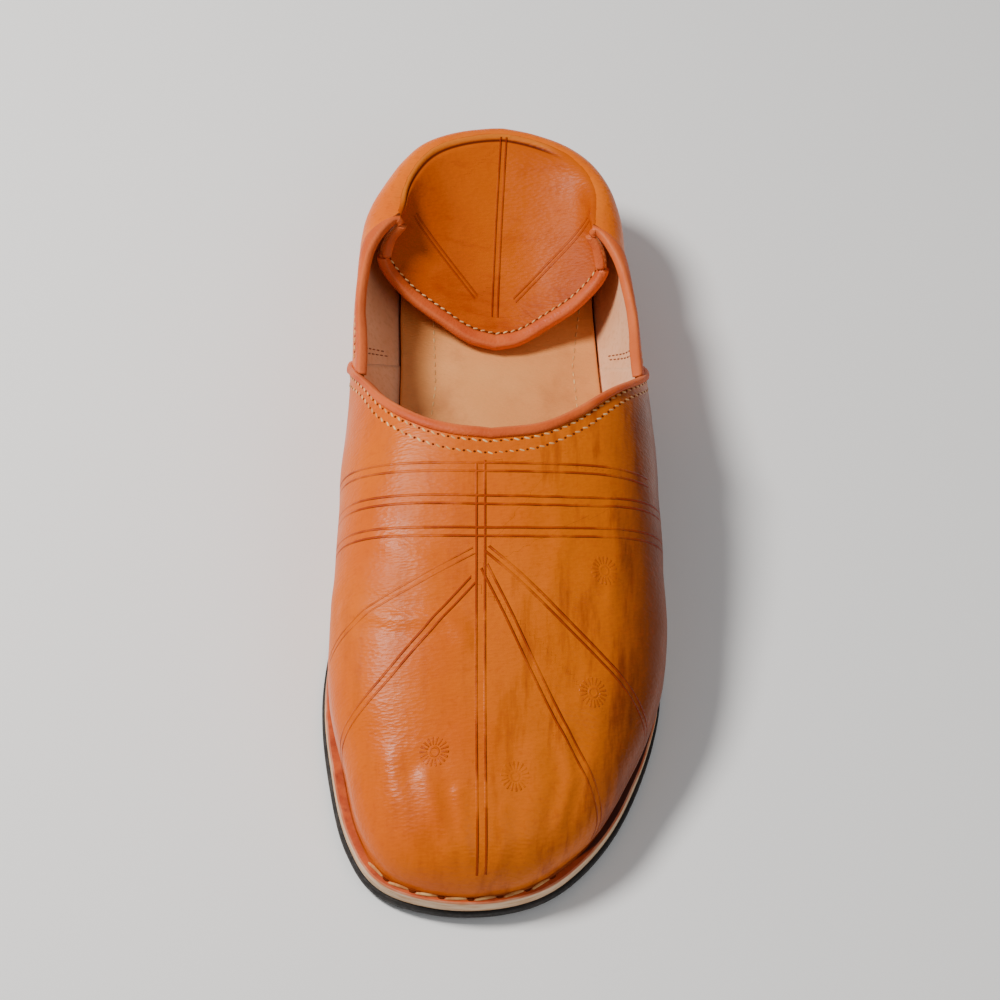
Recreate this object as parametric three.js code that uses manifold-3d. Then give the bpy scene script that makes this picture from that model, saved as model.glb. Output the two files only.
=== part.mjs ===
import * as THREE from "three";
import { mergeVertices } from "three/addons/utils/BufferGeometryUtils.js";
import Module from "manifold-3d";

const wasm = await Module();
wasm.setup();

// A leather babouche for the left foot, with its back folded in under the heel, in millimetres.
// The toe points to -Y, the heel to +Y, the little toe to +X, and +Z is up.
// The origin is on the floor under the middle of the sole.

// Sole
const SOLE_LENGTH = 280;
const BALL_WIDTH = 107;
const OUTSOLE_THICKNESS = 3.4;
const MIDSOLE_THICKNESS = 4.6;
const INSOLE_THICKNESS = 2;
const INSOLE_ROOM = 0.9; // between the insole and the lining
const INSOLE_HEEL_ROOM = 1.5; // more of it where the outline turns round the heel
const INSOLE_TOE_ROOM = 4; // the insole stops short of the toe, where the vamp slopes down to it
const RUBBER_RIM = 0.9; // how far the rubber stands out beyond the leather midsole
const EDGE_BEVEL = 0.7; // worn corner of both sole layers
const TOE_SPRING = 1.6;
const TOE_SPRING_REACH = 75;
const TOE_POINT_X = -6.7; // the foremost point lies towards the big toe
const HEEL_POINT_X = 1.5;
const TOE_TURN = 1.9; // above 1 the outline turns from the tip of the toe into the sides more quickly

// Upper
const INSTEP_HEIGHT = 64; // top of the vamp at the throat
const COLLAR_HEIGHT = 42; // fold round the heel
const VAMP_WALL = 2.2;
const QUARTER_WALL = 1.6;
const LEDGE_TOE = 3; // sole left bare in front of the upper
const LEDGE_MEDIAL = 4.2;
const LEDGE_LATERAL = 4.6;
const OVERHANG = 15; // how far the wall leans out over the waist
const FULLNESS = 2.2; // above 2 the arch of a section is fuller than an ellipse
const HEEL_TURN_LENGTH = 40; // back part of the upper whose sections turn round the heel

// Folded back
const FLAP_REACH = 29; // from the ears forward to the tip of the fold
const FLAP_TIP_HEIGHT = 15;
const FLAP_ROLL = 7; // length of the level start of the fold behind its crest
const FLAP_BOWL = 0.3; // how far the sheet keeps level in front of its edge, as a share of its length
const FLAP_LIFT = 0.12; // rise of the sheet behind its edge

// Bindings
const BINDING_WALL = 0.7;
const BINDING_DEPTH = 3.6; // width of its outer leg
const BINDING_TURN_IN = 1.8; // width of its inner leg
const BINDING_BEVEL = 0.5;
const BINDING_SPLAY = 0.3; // how far its legs open towards their ends, for a wall that curves
const EAR_NARROWING = 14; // its legs narrow over this length of edge before and behind the ear
const EAR_DEPTH = 1.3; // to this width of the outer leg, while the inner one ends
const VAMP_OVERLAP = 0.8; // further back from the vamp's binding to the start of the quarter's

const GAP = 0.3; // clearance between pieces that touch
const FOLD_CLEARANCE = 0.15; // least clearance where a binding goes round a tight fold

const HALF_LENGTH = SOLE_LENGTH / 2;
const MIDSOLE_BASE = OUTSOLE_THICKNESS + GAP;
const UPPER_BASE = MIDSOLE_BASE + MIDSOLE_THICKNESS + GAP;
const UPPER_TOE = -HALF_LENGTH + LEDGE_TOE;
const UPPER_LENGTH = SOLE_LENGTH - 2 * LEDGE_TOE;
const STEP = VAMP_WALL - QUARTER_WALL; // the vamp stands proud of the quarters by this much

const MEDIAL = -1;
const LATERAL = 1;
const SIDES = [MEDIAL, LATERAL];

// Outline of the outsole: at is a share of the sole's length from the toe,
// medial and lateral are half widths from the centre line, as shares of the ball width.
const SOLE_OUTLINE = [
  { at: 0, medial: 0, lateral: 0 },
  { at: 0.018, medial: 0.215, lateral: 0.221 },
  { at: 0.071, medial: 0.324, lateral: 0.377 },
  { at: 0.143, medial: 0.382, lateral: 0.48 },
  { at: 0.25, medial: 0.427, lateral: 0.556 },
  { at: 0.32, medial: 0.422, lateral: 0.564 },
  { at: 0.393, medial: 0.393, lateral: 0.547 },
  { at: 0.5, medial: 0.35, lateral: 0.506 },
  { at: 0.607, medial: 0.33, lateral: 0.46 },
  { at: 0.714, medial: 0.334, lateral: 0.423 },
  { at: 0.82, medial: 0.35, lateral: 0.397 },
  { at: 0.893, medial: 0.351, lateral: 0.379 },
  { at: 0.946, medial: 0.308, lateral: 0.322 },
  { at: 0.982, medial: 0.219, lateral: 0.215 },
  { at: 1, medial: 0, lateral: 0 },
];

// Sections of the upper: at is a share of its length from its toe. The leans are shares of OVERHANG,
// the height of the widest point and collar are shares of the collar height above the sole,
// instep is a share of the instep height above the sole, and shoulder is the share of the half width
// over which the top of the section rounds inwards.
const UPPER_SECTIONS = [
  { at: 0, medialLean: 0, lateralLean: 0, widest: 0, instep: 0, collar: 0, shoulder: 1 },
  { at: 0.011, medialLean: 0, lateralLean: 0, widest: 0.06, instep: 0.19, collar: 0, shoulder: 1 },
  { at: 0.03, medialLean: 0, lateralLean: 0.03, widest: 0.12, instep: 0.29, collar: 0, shoulder: 1 },
  { at: 0.062, medialLean: 0.03, lateralLean: 0.08, widest: 0.18, instep: 0.38, collar: 0, shoulder: 1 },
  { at: 0.135, medialLean: 0.07, lateralLean: 0.12, widest: 0.27, instep: 0.5, collar: 0, shoulder: 1 },
  { at: 0.208, medialLean: 0.18, lateralLean: 0.17, widest: 0.36, instep: 0.61, collar: 0, shoulder: 1 },
  { at: 0.281, medialLean: 0.22, lateralLean: 0.19, widest: 0.45, instep: 0.715, collar: 0, shoulder: 1 },
  { at: 0.354, medialLean: 0.37, lateralLean: 0.23, widest: 0.54, instep: 0.825, collar: 0, shoulder: 1 },
  { at: 0.427, medialLean: 0.61, lateralLean: 0.29, widest: 0.6, instep: 0.93, collar: 0, shoulder: 1 },
  { at: 0.5, medialLean: 0.83, lateralLean: 0.41, widest: 0.66, instep: 1.01, collar: 0, shoulder: 1 },
  { at: 0.573, medialLean: 0.91, lateralLean: 0.5, widest: 0.72, instep: 1.03, collar: 0, shoulder: 1 },
  { at: 0.646, medialLean: 0.97, lateralLean: 0.54, widest: 0.75, instep: 0.45, collar: 0.7, shoulder: 0.6 },
  { at: 0.719, medialLean: 1, lateralLean: 0.57, widest: 0.76, instep: 0, collar: 1.13, shoulder: 0.25 },
  { at: 0.792, medialLean: 0.93, lateralLean: 0.5, widest: 0.76, instep: 0, collar: 1.08, shoulder: 0.2 },
  { at: 0.854, medialLean: 0.83, lateralLean: 0.44, widest: 0.74, instep: 0, collar: 1.06, shoulder: 0.26 },
  { at: 0.93, medialLean: 0.54, lateralLean: 0.45, widest: 0.74, instep: 0, collar: 1.03, shoulder: 0.18 },
  { at: 1, medialLean: 0.64, lateralLean: 0.64, widest: 0.74, instep: 0, collar: 1, shoulder: 0.13 },
];

// Rear edge of the vamp: over is 0 at the sole, 1 at the widest point and 2 on the ridge,
// medial and lateral are shares of the upper's length from its toe.
const VAMP_EDGE = [
  { over: 0, medial: 0.726, lateral: 0.74 },
  { over: 0.5, medial: 0.69, lateral: 0.705 },
  { over: 1, medial: 0.65, lateral: 0.67 },
  { over: 1.25, medial: 0.604, lateral: 0.63 },
  { over: 1.45, medial: 0.55, lateral: 0.588 },
  { over: 1.7, medial: 0.505, lateral: 0.525 },
  { over: 1.85, medial: 0.49, lateral: 0.497 },
  { over: 2, medial: 0.485, lateral: 0.485 },
];

// Collar line of the quarters: along runs from the vamp to the ear, the rest is how far over the
// section the line lies, where 2 is on the crest.
const COLLAR_LINE = [
  { along: 0, medial: 1.24, lateral: 1.29 },
  { along: 0.3, medial: 1.34, lateral: 1.38 },
  { along: 0.6, medial: 1.48, lateral: 1.5 },
  { along: 0.8, medial: 1.6, lateral: 1.62 },
  { along: 0.92, medial: 1.76, lateral: 1.77 },
  { along: 0.98, medial: 1.91, lateral: 1.91 },
  { along: 1, medial: 2, lateral: 2 },
];

// Edge of the folded back: turn runs from the ear to the middle of the heel, out is a share of the ear's
// distance from the middle, forward of FLAP_REACH, and down of the drop from the ear to the tip.
const FLAP_EDGE = [
  { turn: 0, out: 1, forward: 0, down: 0 },
  { turn: 0.05, out: 0.9, forward: 0, down: 0.06 },
  { turn: 0.12, out: 0.98, forward: 0.12, down: 0.2 },
  { turn: 0.22, out: 1.04, forward: 0.3, down: 0.39 },
  { turn: 0.38, out: 0.84, forward: 0.56, down: 0.65 },
  { turn: 0.6, out: 0.49, forward: 0.81, down: 0.86 },
  { turn: 0.8, out: 0.24, forward: 0.95, down: 0.96 },
  { turn: 1, out: 0, forward: 1, down: 1 },
];

// Mesh steps
const SOLE_STEPS = 40;
const VAMP_STEPS = 20;
const QUARTER_STEPS = 10;
const HEEL_STEPS = 12;
const WALL_COLUMNS = 8;
const ARCH_COLUMNS = 9;
const FLAP_COLUMNS = 8;
const EAR_CROWDING = 1.4; // above 1 the stations crowd towards the ear

// Smooth curves through the rows of a table, one for each named column.
function curvesThrough(table, key, warp = (value) => value) {
  const places = table.map((row) => warp(row[key]));
  const curves = {};
  for (const name of Object.keys(table[0])) {
    const values = table.map((row) => row[name]);
    const interpolant = new THREE.CubicInterpolant(places, values, 1);
    curves[name] = (place) => interpolant.evaluate(warp(place))[0];
  }
  return curves;
}

// An angle that is even round both ends, so that a width that grows with it closes in a round end.
const roundEnd = (share) => Math.acos(1 - 2 * THREE.MathUtils.clamp(share, 0, 1));

const soleOutline = curvesThrough(SOLE_OUTLINE, "at", roundEnd);
const upperSections = curvesThrough(UPPER_SECTIONS, "at", roundEnd);
const vampEdge = curvesThrough(VAMP_EDGE, "over");
const collarLine = curvesThrough(COLLAR_LINE, "along");
const flapEdge = curvesThrough(FLAP_EDGE, "turn");

const sideName = (side) => (side === MEDIAL ? "medial" : "lateral");
const centreX = (y) => THREE.MathUtils.mapLinear(y, -HALF_LENGTH, HALF_LENGTH, TOE_POINT_X, HEEL_POINT_X);

// The toe end of every piece lifts with the toe spring.
function lifted(x, y, z) {
  const reach = Math.max(0, TOE_SPRING_REACH - HALF_LENGTH - y) / TOE_SPRING_REACH;
  return new THREE.Vector3(x, y, z + TOE_SPRING * reach * reach);
}

// How square to the shoe's length the outline runs: 0 at the tip of the toe, 1 along the sides.
const sideways = (share) => Math.sin(Math.min(Math.PI / 2, TOE_TURN * roundEnd(share)));
const lengthways = (share) => Math.cos(Math.min(Math.PI / 2, TOE_TURN * roundEnd(share)));

// Half width of the sole at a share of its length, on an outline moved in by inset.
function soleHalfWidth(side, share, inset) {
  const fromEnds = Math.min(sideways(share), sideways(1 - share));
  return soleOutline[sideName(side)](share) * BALL_WIDTH - inset * fromEnds;
}

// Collects the faces of one closed solid.
class Skin {
  constructor() {
    this.corners = [];
  }

  triangle(a, b, c) {
    if (a.distanceTo(b) < 1e-4 || b.distanceTo(c) < 1e-4 || c.distanceTo(a) < 1e-4) return;
    for (const corner of [a, b, c]) this.corners.push(corner.x, corner.y, corner.z);
  }

  // A net of faces over rows of points; turned swaps its outside with its inside.
  net(rows, turned) {
    for (let i = 0; i + 1 < rows.length; i += 1) {
      for (let j = 0; j + 1 < rows[i].length; j += 1) {
        const [a, b, c, d] = [rows[i][j], rows[i + 1][j], rows[i + 1][j + 1], rows[i][j + 1]];
        if (turned) {
          this.triangle(a, c, b);
          this.triangle(a, d, c);
        } else {
          this.triangle(a, b, c);
          this.triangle(a, c, d);
        }
      }
    }
  }

  geometry() {
    const loose = new THREE.BufferGeometry();
    loose.setAttribute("position", new THREE.Float32BufferAttribute(this.corners, 3));
    const merged = mergeVertices(loose, 1e-3);
    merged.computeVertexNormals();
    return merged;
  }
}

const range = (count) => Array.from({ length: count }, (_, index) => index);
const lastOf = (list) => list[list.length - 1];
const lerp = THREE.MathUtils.lerp;

// A layer of the sole: insets are measured in from the outline of the outsole at the toe, heel and
// both sides, and the corners are bevelled where asked.
function soleLayer(base, thickness, insets, bevels) {
  const top = base + thickness;
  const levels = [
    { z: base, inset: bevels.bottom },
    { z: base + bevels.bottom, inset: 0 },
    { z: top - bevels.top, inset: 0 },
    { z: top, inset: bevels.top },
  ];
  const edge = (side, share, level) => {
    const toeY = -HALF_LENGTH + insets.toe + level.inset;
    const heelY = HALF_LENGTH - insets.heel - level.inset;
    const y = lerp(toeY, heelY, share);
    const half = soleHalfWidth(side, share, insets[sideName(side)] + level.inset);
    return lifted(centreX(y) + side * half, y, level.z);
  };
  const ring = (share) => {
    const medial = levels.map((level) => edge(MEDIAL, share, level));
    const lateral = levels.map((level) => edge(LATERAL, share, level)).reverse();
    return [...medial, ...lateral, medial[0]];
  };
  const skin = new Skin();
  const shares = range(SOLE_STEPS + 1).map((step) => (1 - Math.cos((Math.PI * step) / SOLE_STEPS)) / 2);
  skin.net(shares.map(ring), true);
  return skin.geometry();
}

// One section of the upper on one side: where it stands, which way it faces and its sizes.
function upperSection(side, share) {
  const read = (name) => upperSections[name](share);
  const y = UPPER_TOE + UPPER_LENGTH * share;
  const turnY = HALF_LENGTH - LEDGE_TOE - HEEL_TURN_LENGTH;
  const ledge = side === MEDIAL ? LEDGE_MEDIAL : LEDGE_LATERAL;
  const half = Math.max(0, soleHalfWidth(side, share, ledge));
  const centre = new THREE.Vector2(centreX(Math.min(y, turnY)), Math.min(y, turnY));
  const foot = new THREE.Vector2(centreX(y) + side * half, y);
  const facing = y > turnY ? foot.clone().sub(centre).normalize() : new THREE.Vector2(side, 0);
  const base = foot.distanceTo(centre);
  const wide = base + read(`${sideName(side)}Lean`) * OVERHANG;
  const collarRise = COLLAR_HEIGHT - UPPER_BASE;
  const top = read("instep") * (INSTEP_HEIGHT - UPPER_BASE) + read("collar") * collarRise;
  const widest = read("widest") * collarRise;
  return {
    centre,
    facing,
    base,
    wide,
    widest,
    rise: Math.max(0, top - widest),
    shoulder: read("shoulder") * wide,
    sideways: y > turnY ? 1 : sideways(share),
    lengthways: y > turnY ? 0 : lengthways(share),
  };
}

// A point of the upper: over is 0 at the sole, 1 at the widest point and 2 on the ridge or crest,
// inset is measured inwards from the outside of the vamp.
function upperPoint(side, share, over, inset) {
  const section = upperSection(side, share);
  const into = inset * section.sideways;
  let out;
  let z;
  if (over <= 1) {
    out = section.wide - into - (section.wide - section.base) * (1 - over) ** 2;
    z = section.widest * over;
  } else {
    const angle = (Math.min(over, 2) - 1) * (Math.PI / 2);
    const round = (value) => Math.max(0, value) ** (2 / FULLNESS);
    out = section.wide - section.shoulder + (section.shoulder - into) * round(Math.cos(angle));
    z = section.widest + Math.max(0, section.rise - into) * round(Math.sin(angle));
  }
  out = Math.max(0, out);
  const x = section.centre.x + section.facing.x * out;
  const y = section.centre.y + section.facing.y * out + inset * section.lengthways;
  return lifted(x, y, UPPER_BASE + z);
}

// Where the sections start to turn round the heel, and the share at a part of that turn, in even steps
// round the outline.
const TURN_SHARE = 1 - HEEL_TURN_LENGTH / UPPER_LENGTH;
const turnShare = (turn) => (1 - Math.cos(lerp(roundEnd(TURN_SHARE), Math.PI, turn))) / 2;

// The vamp: station 0 is the tip of the toe and 1 its rear edge, place counts the columns from the sole.
function vampPoint(side, station, place, inset) {
  const collarOver = collarLine[sideName(side)](0);
  const over = place <= WALL_COLUMNS
    ? (collarOver * place) / WALL_COLUMNS
    : lerp(collarOver, 2, (place - WALL_COLUMNS) / ARCH_COLUMNS);
  const edge = roundEnd(vampEdge[sideName(side)](over));
  const share = (1 - Math.cos(station * edge)) / 2;
  return upperPoint(side, share, over, inset);
}

// The quarter from the vamp's edge, along 0, to the ear, along 1.
function quarterPoint(side, along, place, inset) {
  const over = (collarLine[sideName(side)](along) * place) / WALL_COLUMNS;
  const start = vampEdge[sideName(side)]((collarLine[sideName(side)](0) * place) / WALL_COLUMNS);
  return upperPoint(side, lerp(start, TURN_SHARE, along), over, inset);
}

// The wall round the heel from the ear, turn 0, to its middle, turn 1.
function heelPoint(side, turn, place, inset) {
  return upperPoint(side, turnShare(turn), (2 * place) / WALL_COLUMNS, inset);
}

// The outer leather of the folded back, from the crest to its edge, down and forward over the insole.
function flapRow(side, turn) {
  const ear = heelPoint(side, 0, WALL_COLUMNS, STEP);
  const crest = heelPoint(side, turn, WALL_COLUMNS, STEP);
  if (turn === 0) return range(FLAP_COLUMNS).map(() => ear.clone());
  const { facing } = upperSection(side, turnShare(turn));
  const middleX = heelPoint(side, 1, WALL_COLUMNS, STEP).x;
  const edge = new THREE.Vector3(
    lerp(middleX, ear.x, flapEdge.out(turn)),
    ear.y - FLAP_REACH * flapEdge.forward(turn),
    lerp(ear.z, FLAP_TIP_HEIGHT, flapEdge.down(turn)),
  );
  const length = crest.distanceTo(edge);
  const roll = Math.min(FLAP_ROLL, length * 0.4);
  const overCrest = crest.clone().add(new THREE.Vector3(-facing.x, -facing.y, 0).multiplyScalar(roll));
  const behindEdge = edge.clone().add(new THREE.Vector3(0, 1, FLAP_LIFT).multiplyScalar(length * FLAP_BOWL));
  const curve = new THREE.CubicBezierCurve3(crest, overCrest, behindEdge, edge);
  return range(FLAP_COLUMNS).map((column) => curve.getPoint((column + 1) / FLAP_COLUMNS));
}

// Outward normals of a grid of points, by the differences between neighbours. The last row is
// the middle of the heel, which both sides share, so its normals stay square to across.
function gridNormals(rows, side, across) {
  const isInside = (i, j) => i >= 0 && i < rows.length && j >= 0 && j < rows[0].length;
  const apart = (i, j, di, dj) => {
    const to = isInside(i + di, j + dj) ? rows[i + di][j + dj] : rows[i][j];
    const from = isInside(i - di, j - dj) ? rows[i - di][j - dj] : rows[i][j];
    return to.clone().sub(from);
  };
  return rows.map((row, i) => row.map((_, j) => {
    let column = j;
    while (column > 1 && apart(i, column, 0, 1).length() < 1e-3) column -= 1;
    const along = i + 1 < rows.length ? apart(i, j, 1, 0).multiplyScalar(side) : across.clone();
    return along.cross(apart(i, column, 0, 1)).normalize();
  }));
}

// Outside and lining of one side's quarter with its half of the folded back, as two grids.
function quarterGrids(side) {
  const alongs = range(QUARTER_STEPS).map((step) => 1 - (1 - step / QUARTER_STEPS) ** EAR_CROWDING);
  const turns = range(HEEL_STEPS + 1).map((step) => (step / HEEL_STEPS) ** EAR_CROWDING);
  const places = range(WALL_COLUMNS + 1);
  const wall = (inset) => [
    ...alongs.map((along) => places.map((place) => quarterPoint(side, along, place, inset))),
    ...turns.map((turn) => places.map((place) => heelPoint(side, turn, place, inset))),
  ];
  const outer = wall(STEP);
  const lining = wall(VAMP_WALL);
  const flaps = [
    ...alongs.map((_, i) => range(FLAP_COLUMNS).map(() => outer[i][WALL_COLUMNS].clone())),
    ...turns.map((turn) => flapRow(side, turn)),
  ];
  const full = outer.map((row, i) => [...row, ...flaps[i]]);
  const { facing } = upperSection(side, 1);
  const normals = gridNormals(full, side, new THREE.Vector3(-facing.y, facing.x, 0));
  const earRow = alongs.length;
  const linings = lining.map((row, i) => {
    const under = flaps[i].map((point, j) => (
      i <= earRow
        ? row[WALL_COLUMNS].clone()
        : point.clone().addScaledVector(normals[i][WALL_COLUMNS + 1 + j], -QUARTER_WALL)
    ));
    return [...row, ...under];
  });
  return { outer: full, lining: linings, normals };
}

const quarters = new Map(SIDES.map((side) => [side, quarterGrids(side)]));

function vampGrid(side, inset) {
  return range(VAMP_STEPS + 1).map((step) => (
    range(WALL_COLUMNS + ARCH_COLUMNS + 1).map((place) => vampPoint(side, step / VAMP_STEPS, place, inset))
  ));
}

// The upper is one shell: vamp, both quarters and the folded back.
function upperGeometry() {
  const skin = new Skin();
  for (const side of SIDES) {
    const turned = side === MEDIAL;
    const vamp = [0, STEP, VAMP_WALL].map((inset) => vampGrid(side, inset));
    const { outer, lining } = quarters.get(side);
    skin.net(vamp[0], turned);
    skin.net(vamp[2], !turned);
    skin.net(outer, turned);
    skin.net(lining, !turned);
    // Foot of the vamp and of the quarter
    skin.net(vamp.map((grid) => grid.map((row) => row[0])), turned);
    skin.net([outer, lining].map((grid) => grid.map((row) => row[0])), turned);
    // Throat edge of the vamp, and the step from the vamp down to the quarter
    const edges = vamp.map(lastOf);
    skin.net(edges.map((row) => row.slice(WALL_COLUMNS)), turned);
    skin.net(edges.slice(0, 2).map((row) => row.slice(0, WALL_COLUMNS + 1)), turned);
    // Edge of the quarter and of the folded back
    skin.net([outer, lining].map((grid) => grid.map(lastOf)), !turned);
  }
  return skin.geometry();
}

// One cross section of a binding, a strip folded over an edge of leather. Heights run from the
// outside of the leather and depths from its edge; inner is the leather's other face, and a strip
// without an inner leg ends at foot.
function bindingSection({ edge, normal, into, depth, inner, turnIn }) {
  const at = (height, deep) => edge.clone().addScaledVector(normal, height).addScaledVector(into, deep);
  const top = GAP + BINDING_WALL;
  const beyond = -GAP - BINDING_WALL;
  const ceiling = turnIn === null ? GAP - STEP : -inner - GAP;
  const foot = turnIn === null ? ceiling : ceiling - BINDING_WALL;
  const innerDepth = turnIn ?? -GAP;
  const splay = innerDepth > 0 ? BINDING_SPLAY : 0;
  return {
    outside: [
      at(top + BINDING_SPLAY, depth),
      at(top, beyond + BINDING_BEVEL),
      at(top - BINDING_BEVEL, beyond),
      at(foot + BINDING_BEVEL, beyond),
      at(foot, beyond + BINDING_BEVEL),
      at(foot - splay, innerDepth),
    ],
    inside: [
      at(GAP + BINDING_SPLAY, depth),
      at(GAP, -GAP),
      at(GAP, -GAP),
      at(ceiling, -GAP),
      at(ceiling, -GAP),
      at(ceiling - splay, innerDepth),
    ],
  };
}

function bindingGeometry(stations, turned) {
  const skin = new Skin();
  const sections = stations.map(bindingSection);
  const loops = sections.map(({ outside, inside }) => [...outside, ...inside.toReversed(), outside[0]]);
  skin.net(loops, turned);
  const [first, last] = [sections[0], lastOf(sections)];
  skin.net([first.outside, first.inside], !turned);
  skin.net([last.outside, last.inside], turned);
  return skin.geometry();
}

// Stations along the edge of one quarter and its half of the folded back, from the vamp to the middle.
// The strip starts a little behind the vamp's binding, on a line along it.
function quarterEdge(side) {
  const { outer, lining } = quarters.get(side);
  const edges = outer.map(lastOf);
  const inners = lining.map(lastOf);
  const ear = edges[QUARTER_STEPS];
  const start = (GAP + BINDING_WALL + GAP + VAMP_OVERLAP) / edges[0].distanceTo(edges[1]);
  edges[0] = edges[0].clone().lerp(edges[1], start);
  inners[0] = inners[0].clone().lerp(inners[1], start);
  return edges.map((edge, i) => {
    const fullness = Math.min(1, edge.distanceTo(ear) / EAR_NARROWING);
    const depth = lerp(EAR_DEPTH, BINDING_DEPTH, fullness);
    const turnIn = lerp(-GAP, BINDING_TURN_IN, fullness);
    const slant = i > 0 ? null : outer[0][WALL_COLUMNS - 1].clone().sub(outer[0][WALL_COLUMNS]).normalize();
    return { edge, under: inners[i], depth, turnIn, slant };
  });
}

// One strip binds both quarters and the folded back: medial quarter, round the back's edge, lateral.
function quarterBinding() {
  const medial = quarterEdge(MEDIAL);
  const lateral = quarterEdge(LATERAL).reverse().slice(1);
  const stations = [...medial, ...lateral];
  return stations.map(({ edge, under, depth, turnIn, slant }, i) => {
    const before = stations[Math.max(0, i - 1)].edge;
    const after = stations[Math.min(stations.length - 1, i + 1)].edge;
    const normal = edge.clone().sub(under).normalize();
    const into = slant ?? normal.clone().cross(after.clone().sub(before)).normalize();
    return { edge, normal, into, inner: edge.distanceTo(under), depth, turnIn };
  });
}

// The strip along the vamp's edge: round the throat it wraps the edge, and down the wings, where the
// vamp lies on the quarters, it only covers the step.
function vampEdgeStations(side) {
  const [outer, lining] = [0, VAMP_WALL].map((inset) => vampGrid(side, inset));
  const edges = lastOf(outer);
  return edges.map((edge, place) => {
    const inner = lastOf(lining)[place];
    const normal = edge.clone().sub(inner).normalize();
    const into = outer[outer.length - 2][place].clone().sub(edge).normalize();
    let turnIn = BINDING_TURN_IN;
    if (place <= WALL_COLUMNS) turnIn = null;
    if (place === WALL_COLUMNS + 1) turnIn = -GAP;
    return { edge, normal, into, depth: BINDING_DEPTH, inner: edge.distanceTo(inner), turnIn };
  });
}

function toSolid(geometry) {
  const vertProperties = Float32Array.from(geometry.getAttribute("position").array);
  const triVerts = Uint32Array.from(geometry.getIndex().array);
  return new wasm.Manifold(new wasm.Mesh({ numProp: 3, vertProperties, triVerts }));
}

function toGeometry(solid) {
  const mesh = solid.getMesh();
  const geometry = new THREE.BufferGeometry();
  geometry.setAttribute("position", new THREE.BufferAttribute(mesh.vertProperties, 3));
  geometry.setIndex(new THREE.BufferAttribute(mesh.triVerts, 1));
  return geometry;
}

// The shell of the upper, thicker all round, which the binding is cut back from at the tight folds.
function swollen(geometry, by) {
  const swelled = geometry.clone();
  const positions = swelled.getAttribute("position");
  const normals = swelled.getAttribute("normal");
  for (let i = 0; i < positions.count; i += 1) {
    const point = new THREE.Vector3().fromBufferAttribute(positions, i);
    const normal = new THREE.Vector3().fromBufferAttribute(normals, i);
    point.addScaledVector(normal, by);
    positions.setXYZ(i, point.x, point.y, point.z);
  }
  return swelled;
}

const group = new THREE.Group();

function addPiece(name, geometry, color, roughness) {
  const material = new THREE.MeshStandardMaterial({ color, roughness, metalness: 0 });
  const mesh = new THREE.Mesh(geometry, material);
  mesh.name = name;
  group.add(mesh);
}

const rubberInsets = { toe: 0, heel: 0, medial: 0, lateral: 0 };
const leatherInsets = { toe: RUBBER_RIM, heel: RUBBER_RIM, medial: RUBBER_RIM, lateral: RUBBER_RIM };
const lined = VAMP_WALL + INSOLE_ROOM;
const insoleInsets = {
  toe: LEDGE_TOE + lined + INSOLE_TOE_ROOM,
  heel: LEDGE_TOE + lined + INSOLE_HEEL_ROOM,
  medial: LEDGE_MEDIAL + lined,
  lateral: LEDGE_LATERAL + lined,
};

addPiece(
  "outsole",
  soleLayer(0, OUTSOLE_THICKNESS, rubberInsets, { bottom: EDGE_BEVEL, top: 0 }),
  0x1c1b1a,
  0.8,
);
addPiece(
  "midsole",
  soleLayer(MIDSOLE_BASE, MIDSOLE_THICKNESS, leatherInsets, { bottom: 0, top: EDGE_BEVEL }),
  0xd9b892,
  0.7,
);
addPiece(
  "insole",
  soleLayer(UPPER_BASE, INSOLE_THICKNESS, insoleInsets, { bottom: 0, top: 0 }),
  0xcf9f68,
  0.65,
);
const upper = upperGeometry();
addPiece("upper", upper, 0xd9791f, 0.45);
const room = toSolid(swollen(upper, FOLD_CLEARANCE));
const strip = toSolid(bindingGeometry(quarterBinding(), true)).subtract(room);
addPiece("quarter_binding", toGeometry(strip), 0xc9754a, 0.5);
const vampStations = [...vampEdgeStations(MEDIAL), ...vampEdgeStations(LATERAL).reverse().slice(1)];
addPiece("vamp_binding", bindingGeometry(vampStations, false), 0xc9754a, 0.5);

export default group;
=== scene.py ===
import math

import bmesh
import bpy
import numpy as np
from mathutils import Matrix, Vector, noise


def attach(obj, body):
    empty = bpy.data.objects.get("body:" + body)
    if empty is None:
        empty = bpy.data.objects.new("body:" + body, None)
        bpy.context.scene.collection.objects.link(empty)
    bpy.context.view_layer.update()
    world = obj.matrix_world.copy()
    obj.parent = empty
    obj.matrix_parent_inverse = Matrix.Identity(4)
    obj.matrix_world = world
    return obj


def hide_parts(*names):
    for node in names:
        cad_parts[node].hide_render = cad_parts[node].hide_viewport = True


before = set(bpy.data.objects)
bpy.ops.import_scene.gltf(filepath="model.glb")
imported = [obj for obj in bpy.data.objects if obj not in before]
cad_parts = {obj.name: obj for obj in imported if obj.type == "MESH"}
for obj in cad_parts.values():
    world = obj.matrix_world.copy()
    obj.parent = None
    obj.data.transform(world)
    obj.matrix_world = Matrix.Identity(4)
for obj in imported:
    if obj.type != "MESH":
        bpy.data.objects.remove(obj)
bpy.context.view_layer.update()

# A leather babouche for the left foot, with its back folded in under the heel.
# Sizes are in millimetres until a mesh is made. The toe points to -Y, the little toe to +X.

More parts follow.
